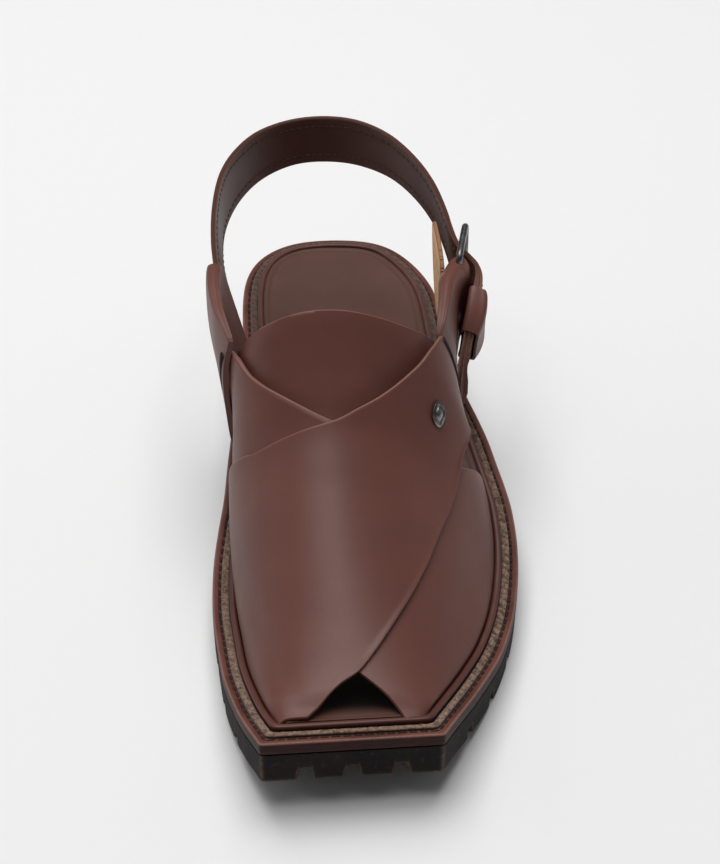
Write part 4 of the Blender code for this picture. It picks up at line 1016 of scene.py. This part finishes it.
def flap():
    """Grid between the arched edge and the hidden front edge."""
    a, b = on_pattern(FLAP_EDGE, 150), on_pattern(FLAP_FRONT, 150)
    w = np.linspace(0, 1, 60)[:, None, None]
    flat = a[None] * (1 - w) + b[None] * w
    s, v = flat[..., 0], flat[..., 1]
    rise = trough(s, v, (168, .50), 1.4, 30, 10, 0.5)
    verts, faces, rim, lining = sheet_of(on_last(s, v, -1.25 + rise), on_last(s, v, -3.05 + rise), 0.35)
    piece("instep_flap_leather", verts, faces, UPPER, "upper_leather", ["instep_flap"], rim=rim, lining=lining)


flap()


# %% [markdown]
# ## Folded ears
# On each side a folded ear holds the strap. Its section is told row by row: the inner face, the rolled top
# and the outer face. A closed smooth curve through each row, and a spline from row to row, give the mesh.


# %% Ears
def wall_at(s, z, off, outer):
    """x of the last's wall, raised by off, at the heights z."""
    v = np.linspace(0.02, 0.5, 120) if outer else np.linspace(0.98, 0.5, 120)
    p = on_last(np.full(120, float(s)), v, off)
    order = np.argsort(p[:, 2])
    return np.interp(z, p[order, 2], p[order, 0])


def along(ends, k):
    """Quadratic through the values at the bottom, the middle and the top."""
    return ends[0] * (1 - k) * (1 - 2 * k) + ends[1] * 4 * k * (1 - k) + ends[2] * k * (2 * k - 1)


def ear_row(s, low, high, faces, side=1, room=None):
    """Row of an ear's section.

    faces holds x at the bottom, the middle and the top of the inner face, then of the outer face; or only two
    heights over the last's wall. With `room` the section is a folded layer, open below up to this height.
    """
    def across(z):
        k = (z - low) / (high - low)
        if len(faces) == 6:
            return along(faces[:3], k), along(faces[3:], k)
        return tuple(wall_at(s, z, off, side > 0) for off in faces)
    x_in, x_out = across(np.array([high - 1.5]))
    fall = max(1.5, 0.42 * abs(x_out[0] - x_in[0]))
    zs = np.linspace(low, high - fall, 5)
    x_in, x_out = across(zs)
    crown = x_out[-1] - x_in[-1]
    points = [*zip(x_in, zs), (x_in[-1] + crown * 0.30, high - 0.2), (x_in[-1] + crown * 0.70, high - 0.1),
              *zip(x_out[::-1], zs[::-1])]
    if room is not None:
        zs = np.linspace(low + 0.05, room, 6)
        x_in, x_out = across(zs)
        way, wide = np.sign(x_out - x_in), np.abs(x_out - x_in)
        layer = np.minimum(1.3, wide / 2 - 0.12)
        a, b = x_in + way * layer, x_out - way * layer
        points += [*zip(b, zs), *zip(a[::-1], zs[::-1])]
    return [s] + [value for point in points for value in point]


def smooth_loops(loops, times):
    """Each closed loop resampled by a cubic through its points."""
    n = loops.shape[1]
    t = np.arange(n * times) / times
    i = t.astype(int)
    return sum(loops[:, (i + k) % n] * w for k, w in zip((-1, 0, 1, 2), weights((t - i)[None, :, None])))


def ear(name, rows, stands_for, count=130):
    """An ear from its rows; both ends are closed by a face."""
    table = np.array(rows, float)
    flat = spline(table, count)
    loops = np.stack([flat[:, 1::2], np.repeat(flat[:, :1], (table.shape[1] - 1) // 2, 1), flat[:, 2::2]], -1)
    loops = smooth_loops(loops, 5)
    end = steps(loops, 0)
    piece(name, loops, tube(loops), UPPER, "upper_leather", [stands_for], sharp=55,
          rim=np.minimum(end, end[-1:] - end) + 0.25, lining=0.0)


ear("inner_ear", [
    ear_row(151.5, 50.0, 100.6, (2.8, 5.0), -1, 51.5),
    ear_row(149.0, 46.8, 102.0, (2.8, 5.4), -1, 49.0),
    ear_row(143.0, 45.6, 103.2, (2.7, 6.2), -1, 52.0),
    ear_row(128.0, 46.6, 104.2, (-39.0, -44.4, -47.6, -46.6, -51.8, -52.4), room=96.0),
    ear_row(116.0, 47.8, 104.6, (-35.8, -42.2, -49.0, -48.2, -53.8, -54.0), room=102.4),
    ear_row(107.0, 49.0, 104.0, (-36.2, -42.4, -48.7, -49.6, -54.4, -54.4), room=102.4),
    ear_row(103.8, 50.0, 103.2, (-36.5, -42.5, -48.5, -50.0, -54.3, -54.3), room=102.0)], "ear_inner")
ear("outer_ear", [
    ear_row(150.6, 66.0, 91.0, (-0.6, 0.4)),
    ear_row(148.2, 60.0, 94.5, (-0.6, 0.4)),
    ear_row(145.6, 50.5, 99.0, (0.0, 2.5)),
    ear_row(140.0, 48.4, 102.0, (0.1, 3.8)),
    ear_row(128.0, 48.0, 103.8, (42.8, 42.0, 38.2, 46.8, 46.8, 43.8)),
    ear_row(118.0, 49.6, 104.2, (42.8, 42.4, 38.6, 47.0, 47.8, 46.0)),
    ear_row(111.0, 58.0, 103.2, (43.0, 42.8, 39.2, 48.2, 48.9, 49.4)),
    ear_row(107.4, 65.6, 102.2, (43.0, 42.6, 39.8, 49.6, 50.6, 51.6)),
    ear_row(105.4, 68.4, 101.6, (43.0, 42.8, 41.2, 51.6, 52.2, 52.8)),
    ear_row(101.0, 69.3, 100.9, (43.0, 43.0, 43.0, 53.3, 53.4, 53.3)),
    ear_row(99.0, 69.4, 100.9, (44.6, 44.6, 44.6, 52.4, 52.4, 52.4)),
    ear_row(98.3, 69.6, 100.8, (46.8, 46.8, 46.8, 50.2, 50.2, 50.2))], "ear_outer")

# %% [markdown]
# ## Heel strap
# The strap is two layers sewn along both edges. It starts inside the inner ear, runs round the heel, through
# the buckle and out as the tail. Its two edges are one spline in six dimensions, so the strap can lean and
# narrow; the section has flat faces, rounded edges and a shallow channel under each seam.

# %% Strap
STRAP_ROWS = [(-40.8, -50.2, 112.5, 60.0, 98.8), (-42.4, -50.8, 104, 64.0, 101.4),
              (-45.2, -51.8, 94, 70.0, 107.6), (-49.4, -51.4, 80, 79.0, 114.5),
              (-49.6, -48.6, 62, 87.0, 118.5), (-43.8, -42.6, 46, 92.5, 119.5),
              (-33.4, -33.0, 33.5, 96.4, 120.5), (-19, -19.2, 27.4, 99.8, 122),
              (-3.4, -4.4, 27.6, 101.4, 123.5), (10.6, 9.0, 30.8, 101.0, 123.2),
              (24, 21.6, 37.5, 98.6, 120.6), (34.5, 32, 47.5, 94.0, 116), (42, 39.5, 58.5, 88.0, 110.6),
              (46.6, 44.2, 69, 80.5, 104.4), (48.9, 46.8, 78, 75.0, 99.8), (49.7, 48.4, 83, 72.6, 97.9),
              (51.2, 50.6, 88, 71.6, 97.2), (53.7, 53.7, 93.5, 71.2, 97.0), (56.1, 56.1, 98.5, 70.8, 96.6)]
TAIL = [(56.8, 103, 82.8, 12.8, 0.10), (55.6, 108, 79.6, 12.7, 0.22), (53.8, 113.5, 74.6, 12.6, 0.38),
        (51.4, 119, 67.8, 12.0, 0.56), (49.6, 123.5, 61.6, 9.8, 0.70), (48.8, 127.8, 55.4, 6.2, 0.76),
        (48.8, 131.6, 49.8, 2.4, 0.80)]
SEAM_IN = 2.9     # from the rounded edge to the seam


def strap_line(count):
    """Lower and upper edge of the strap, and its thickness direction, away from the foot."""
    edges = [(x, s, a, y, s, b) for x, y, s, a, b in STRAP_ROWS]
    for x, s, z, half, lean in TAIL:
        d = np.array([0.0, -lean, -1.0])
        d *= half / np.linalg.norm(d)
        edges.append((x, s + d[1], z + d[2], x, s - d[1], z - d[2]))
    both = spline(edges, count)
    a, b = both[:, :3], both[:, 3:]
    return a, b, -unit(np.cross(np.gradient(0.5 * (a + b), axis=0), b - a))


def strap():
    """Section: over each face from edge to edge, with a seam channel, and a half circle round each edge."""
    a, b, out = strap_line(420)
    wide = np.linalg.norm(b - a, axis=1, keepdims=True)
    w = (b - a) / wide
    folded = np.clip((a[:, 1:2] - 99) / 6, 0, 1) * (a[:, :1] > 0)
    half = np.minimum(1.0 + folded * (1 + 0.9 * ease((a[:, 1:2] - 119) / 5)), wide * 0.34)
    channel = lambda d: 1.0 - 0.16 * math.exp(-((d - SEAM_IN) / 0.5) ** 2)
    loops, rim, lining, raw = [], [], [], []

    def add(point, gap, inner):
        for table, value in ((loops, point), (rim, gap + 0 * a[:, 0]), (lining, inner + 0 * a[:, 0]),
                             (raw, folded[:, 0] * (gap == 0))):
            table.append(value)
    for face, inner in ((1.0, 0.0), (-1.0, 1.0)):
        first, second, way = (a, b, w) if face > 0 else (b, a, -w)
        section = [(half * (1 - math.sin(r)), half * math.sin(r), 0.0, inner * 0.5)
                   for r in np.radians([22.5, 45, 67.5, 90])]
        section += [(np.minimum(half + d, wide * 0.45), half * channel(d), d, inner)
                    for d in (0.7, 1.3, 2.0, 2.5, 2.9, 3.3, 4.0, 6.5, 10.0)]
        for edge, sign, points in ((first, 1, section), (second, -1, section[::-1])):
            for near, height, gap, flesh in points:
                add(edge + way * near * sign + out * face * height, gap, flesh)
        add(second, 0.0, 0.5)
    loops = np.array(loops).transpose(1, 0, 2)
    # The strap's inner face gets 0.6 of the flesh side's painted shade.
    piece("heel_strap_leather", loops, tube(loops), STRAP, "strap_leather", ["heel_strap"], sharp=70,
          rim=np.array(rim).T, lining=np.array(lining).T * 0.6, raw=np.array(raw).T)
    seams = []
    for face in (1.0, -1.0):
        for first, way in ((a, w), (b, -w)):
            path = first + way * (half + SEAM_IN) + out * face * (half - 0.14)
            seams.append(along_path(path[8:-26], out[8:-26] * face, 2.9))
    return [np.concatenate(part) for part in zip(*seams)]


piece("strap_stitches", *stitch_mesh(*strap(), 2.2, 0.27, 0.16, 0.45), thread("seam_thread", tone(112, 82, 68)),
      "strap_leather")


# %% [markdown]
# ## Seams at the ears
# A few tight dark stitches, laid across the edge they hold, close the top corners where the ears go in under
# the panels.


# %% Ear seams
def whipped(lengths, shares, off, pitch, reach):
    """Short threads square to a line on the last, from its first to its last length and share."""
    s, v = np.linspace(*lengths, 60), np.linspace(*shares, 60)
    path = on_last(s, v, off)
    middle, way, up = along_path(path, path - on_last(s, v, off - 1.0), pitch)
    return stitch_mesh(middle, np.cross(way, up), up, reach, 0.38, 0.35, 0.9)


for name, seam in (("inner_ear_seam", whipped((148.2, 147.0), (.742, .82), 5.2, 0.95, 3.4)),
                   ("outer_ear_seam", whipped((148.6, 147.9), (.282, .17), OVER + LEATHER, 1.0, 3.0))):
    piece(name, *seam, DARK_THREAD, "upper_leather")


# %% [markdown]
# ## Keeper, buckle and tab
# The keeper is a leather loop round the tail. The buckle is a bent bar with a prong, and behind it lies a
# tab of raw leather, paler than the rest.


# %% Keeper
def keeper(first, last_s):
    """A loop round the tail: a rounded section as wide as the strap, swollen between its two ends."""
    a, b, out = strap_line(900)
    c = 0.5 * (a + b)
    tail = np.nonzero(c[:, 0] > 40)[0]
    at = tail[np.argmin(np.abs(c[tail, 1][None] - np.linspace(first, last_s, 14)[:, None]), axis=1)]
    d = unit((a - b)[at])
    n = out[at] * np.sign(out[at][:, :1])
    half = np.linalg.norm((a - b)[at], axis=1, keepdims=True) / 2
    grids = []
    swell = np.sin(np.pi * np.linspace(0, 1, 14))[:, None] ** 0.7
    for grow, back, face in ((1.6, 3.0, 4.0 + 1.1 * swell), (0.5, 2.2, 2.9 + 0.6 * swell)):
        h = half + grow + 0.5 * swell
        w = [(-h, -back), (-h, face * 0.4), (-h + 1.6, face), (-h * 0.33, face), (h * 0.33, face),
             (h - 1.6, face), (h, face * 0.4), (h, -back), (h * 0.33, -back), (-h * 0.33, -back)]
        loop = np.stack([c[at] + d * p + n * q for p, q in w], 1)
        grids.append(smooth_loops(loop, 6))
    outer, inner = grids
    o = numbers(outer)
    i = o + o.size
    faces = [net(o, closed=True), net(i, closed=True), net(np.stack([o[0], i[0]]), closed=True),
             net(np.stack([o[-1], i[-1]]), closed=True)]
    end = steps(outer, 0)
    rim = np.minimum(end, end[-1:] - end)
    piece("keeper_leather", np.stack([outer, inner]), faces, UPPER, "strap_leather", ["keeper_loop"],
          rim=np.stack([rim, rim]), lining=np.repeat([0.0, 1.0], o.size))


keeper(107.6, 117.6)


# %% Metal
def gunmetal():
    """Dark plated steel with fine scratches and brighter rubbed places."""
    f = Finish("gunmetal", Metallic=1.0)
    scratch, rubbed = f.noise(2600, 3, place=f.stretched(0.12)), f.noise(160, 3)
    return f.done(f.mix(rubbed.step(0.35, 0.7), tone(92, 88, 88), tone(150, 146, 146)),
                  0.22 + scratch * 0.22, scratch * 0.02)


METAL = gunmetal()


def rod(name, path, radius, stands_for, closed=False, sides=20):
    """A round bar: circles of the given radius across the path's direction."""
    p = np.asarray(path, float)
    t = unit((np.roll(p, -1, 0) - np.roll(p, 1, 0)) if closed else np.gradient(p, axis=0))
    a = unit(np.cross(t, (1.0, 0.0, 0.0) if abs(t[:, 0]).max() < 0.9 else (0.0, 0.0, 1.0)))
    b = np.cross(t, a)
    w = np.linspace(0, 2 * np.pi, sides, endpoint=False)
    r = np.broadcast_to(np.asarray(radius, float), (len(p),))[:, None, None]
    loops = p[:, None] + r * (a[:, None] * np.cos(w)[None, :, None] + b[:, None] * np.sin(w)[None, :, None])
    piece(name, loops, tube(loops, "joined" if closed else None), METAL, "buckle_metal", [stands_for])


BAR, BACK, BAR_R = (48.5, 103.5), (52.6, 80.5), 1.45     # x and s of the front and the back bar, radius
FRAME_LOW, FRAME_HIGH, PRONG_Z, EYE_R = 67.0, 104.4, 84.6, 2.85     # heights; the prong's eye round the bar


def frame_path():
    """Rounded rectangle from the front bar to the back bar."""
    r, span, points = 3.0, BAR[1] - BACK[1], []
    for ca, cz, turn in ((r, FRAME_HIGH - r, 180), (span - r, FRAME_HIGH - r, 90), (span - r, FRAME_LOW + r, 0),
                         (r, FRAME_LOW + r, -90)):
        angle = np.radians(np.linspace(turn, turn - 90, 9))
        points.append(np.stack([ca + r * np.cos(angle), cz + r * np.sin(angle)], 1))
    p = spline(np.concatenate(points + [points[0][:1]]), 161)[:-1]
    k = p[:, :1] / span
    return np.concatenate([BAR[0] + (BACK[0] - BAR[0]) * k, BAR[1] - p[:, :1], p[:, 1:]], 1)


rod("buckle_bow", frame_path(), BAR_R, "buckle_frame", closed=True)
eye = [(BAR[0] + EYE_R * math.cos(a), BAR[1] + EYE_R * math.sin(a)) for a in np.radians(np.linspace(200, 0, 8))]
arm = [(51.9, 100.2), (53.2, 96.6), (55.1, 92.5), (56.0, 88.5), (55.9, 84.0), (55.3, 80.0), (54.6, 75.0)]
prong_radius = np.interp(np.arange(90), [0, 80, 89], [1.0, 1.0, 0.7])
rod("prong", spline([(x, s, PRONG_Z) for x, s in eye + arm], 90), prong_radius, "buckle_prong", sides=14)


# %% Raw tab
def raw_leather():
    """Undyed leather: pinkish tan with loose fibres, darker and ragged at its edge."""
    f = Finish("raw_leather", Specular_IOR_Level=0.3)
    fibre, blotch = f.noise(1100, 6, 0.7), f.noise(220, 4)
    colour = f.mix(blotch.step(0.3, 0.7), tone(252, 208, 162), tone(240, 188, 142))
    colour = f.mix(fibre.step(0.52, 0.7) * 0.5, colour, tone(150, 104, 72))
    colour = f.mix(1 - f.attribute("rim").step(0.2, 1.4), colour, tone(150, 108, 82))
    return f.done(colour, 0.8 + fibre * 0.15, fibre * 0.3)


def tab():
    """A flat tab with a ragged outline."""
    outline = spline([(104.6, 69.5), (104.6, 99.5), (76.0, 101.0), (71.0, 98.6), (74.5, 88.0), (82.0, 77.0),
                      (92.0, 69.0), (104.6, 69.5)], 241)[:-1]
    middle = outline.mean(0)
    loops = []
    ragged = wobble(np.arange(240) / 240.0, (0.25, 31, 0.1), (0.2, 57, 0.4), (0.12, 97, 0.7))
    line = outline - unit(outline - middle) * np.abs(ragged)[:, None]
    for x, share in ((40.8, 0.5), (40.8, 0.97), (41.1, 1.0), (42.3, 1.0), (42.6, 0.97), (42.6, 0.5)):
        p = middle + (line - middle) * share
        loops.append(np.stack([x - 0.047 * (104.6 - p[:, 0]), p[:, 0], p[:, 1]], 1))
    loops = np.array(loops)
    piece("raw_tab", loops, tube(loops), raw_leather(), "raw_leather", ["buckle_tab"],
          rim=np.repeat([8.0, 0.4, 0.0, 0.0, 0.4, 8.0], 240))


tab()


# %% Stud
def stud():
    """A plain lozenge with a bevelled edge and a raised middle, on the outer forepart."""
    s0, v0 = 170.0, 0.285
    a, b = on_last(s0, v0, OVER + LEATHER + 0.15), on_last(s0, v0, 8.0)
    n = unit(b - a)
    up = on_last(s0 - 4.0, v0 + 0.01, OVER + LEATHER) - a
    up = unit(up - n * up.dot(n))
    w = np.cross(n, up)
    t = np.linspace(0, 2 * np.pi, 48, endpoint=False)
    shape = 1 / (np.abs(np.cos(t)) ** 1.5 + np.abs(np.sin(t)) ** 1.5) ** (1 / 1.5)
    loops = np.array([a + n * h + (up * (np.cos(t) * shape * 5.3)[:, None]
                                   + w * (np.sin(t) * shape * 3.5)[:, None]) * k
                      for h, k in ((0.1, 0.92), (0.45, 1.0), (0.9, 1.0), (1.15, 0.93), (1.2, 0.78), (0.95, 0.7),
                                   (0.95, 0.55), (1.35, 0.46), (1.9, 0.2))])
    piece("lozenge_stud", loops, tube(loops), METAL, "buckle_metal", ["stud"], sharp=40)


stud()

# %% [markdown]
# ## Floor and light
# A studio sweep of pale paper, one large soft light above and behind the shoe, a smaller one over it, and
# weak fills at the sides. The light from behind puts the broad sheen on the panels and the soft shadow in
# front of the toe.


# %% Studio
def floor():
    """A wide pale plane with a faint paper tooth."""
    mesh = bpy.data.meshes.new("floor")
    mesh.from_pydata([(-6, -6, 0), (6, -6, 0), (6, 6, 0), (-6, 6, 0)], [], [(0, 1, 2, 3)])
    f = Finish("floor_paper", Specular_IOR_Level=0.1)
    tooth = f.noise(180, 3)
    mesh.materials.append(f.done(f.mix(tooth, tone(238, 238, 238), tone(240, 240, 240)), 0.9 + tooth * 0.05))
    thing = bpy.data.objects.new("floor", mesh)
    bpy.context.collection.objects.link(thing)


def softbox(name, place, target, size, power):
    """A square light of the given width, aimed at a point."""
    light = bpy.data.lights.new(name, "AREA")
    light.shape, light.size, light.energy = "SQUARE", size, power
    stand(bpy.data.objects.new(name, light), place, target)


floor()
softbox("over", (-0.1, 1.0, 2.6), (0, -0.1, 0.0), 2.0, 35)
softbox("top", (-0.16, 0.05, 1.9), (0, 0, 0.05), 1.4, 21)
softbox("left", (-1.6, 0.3, 0.7), (0, 0, 0.05), 1.2, 3.2)
softbox("right", (1.5, 0.4, 0.8), (0, 0, 0.05), 1.0, 1)
world = bpy.context.scene.world or bpy.data.worlds.new("studio")
bpy.context.scene.world = world
world.use_nodes = True
for key, value in (("Color", (1, 1, 1, 1)), ("Strength", 0.12)):
    world.node_tree.nodes["Background"].inputs[key].default_value = value
bpy.context.scene.view_settings.view_transform = "Standard"
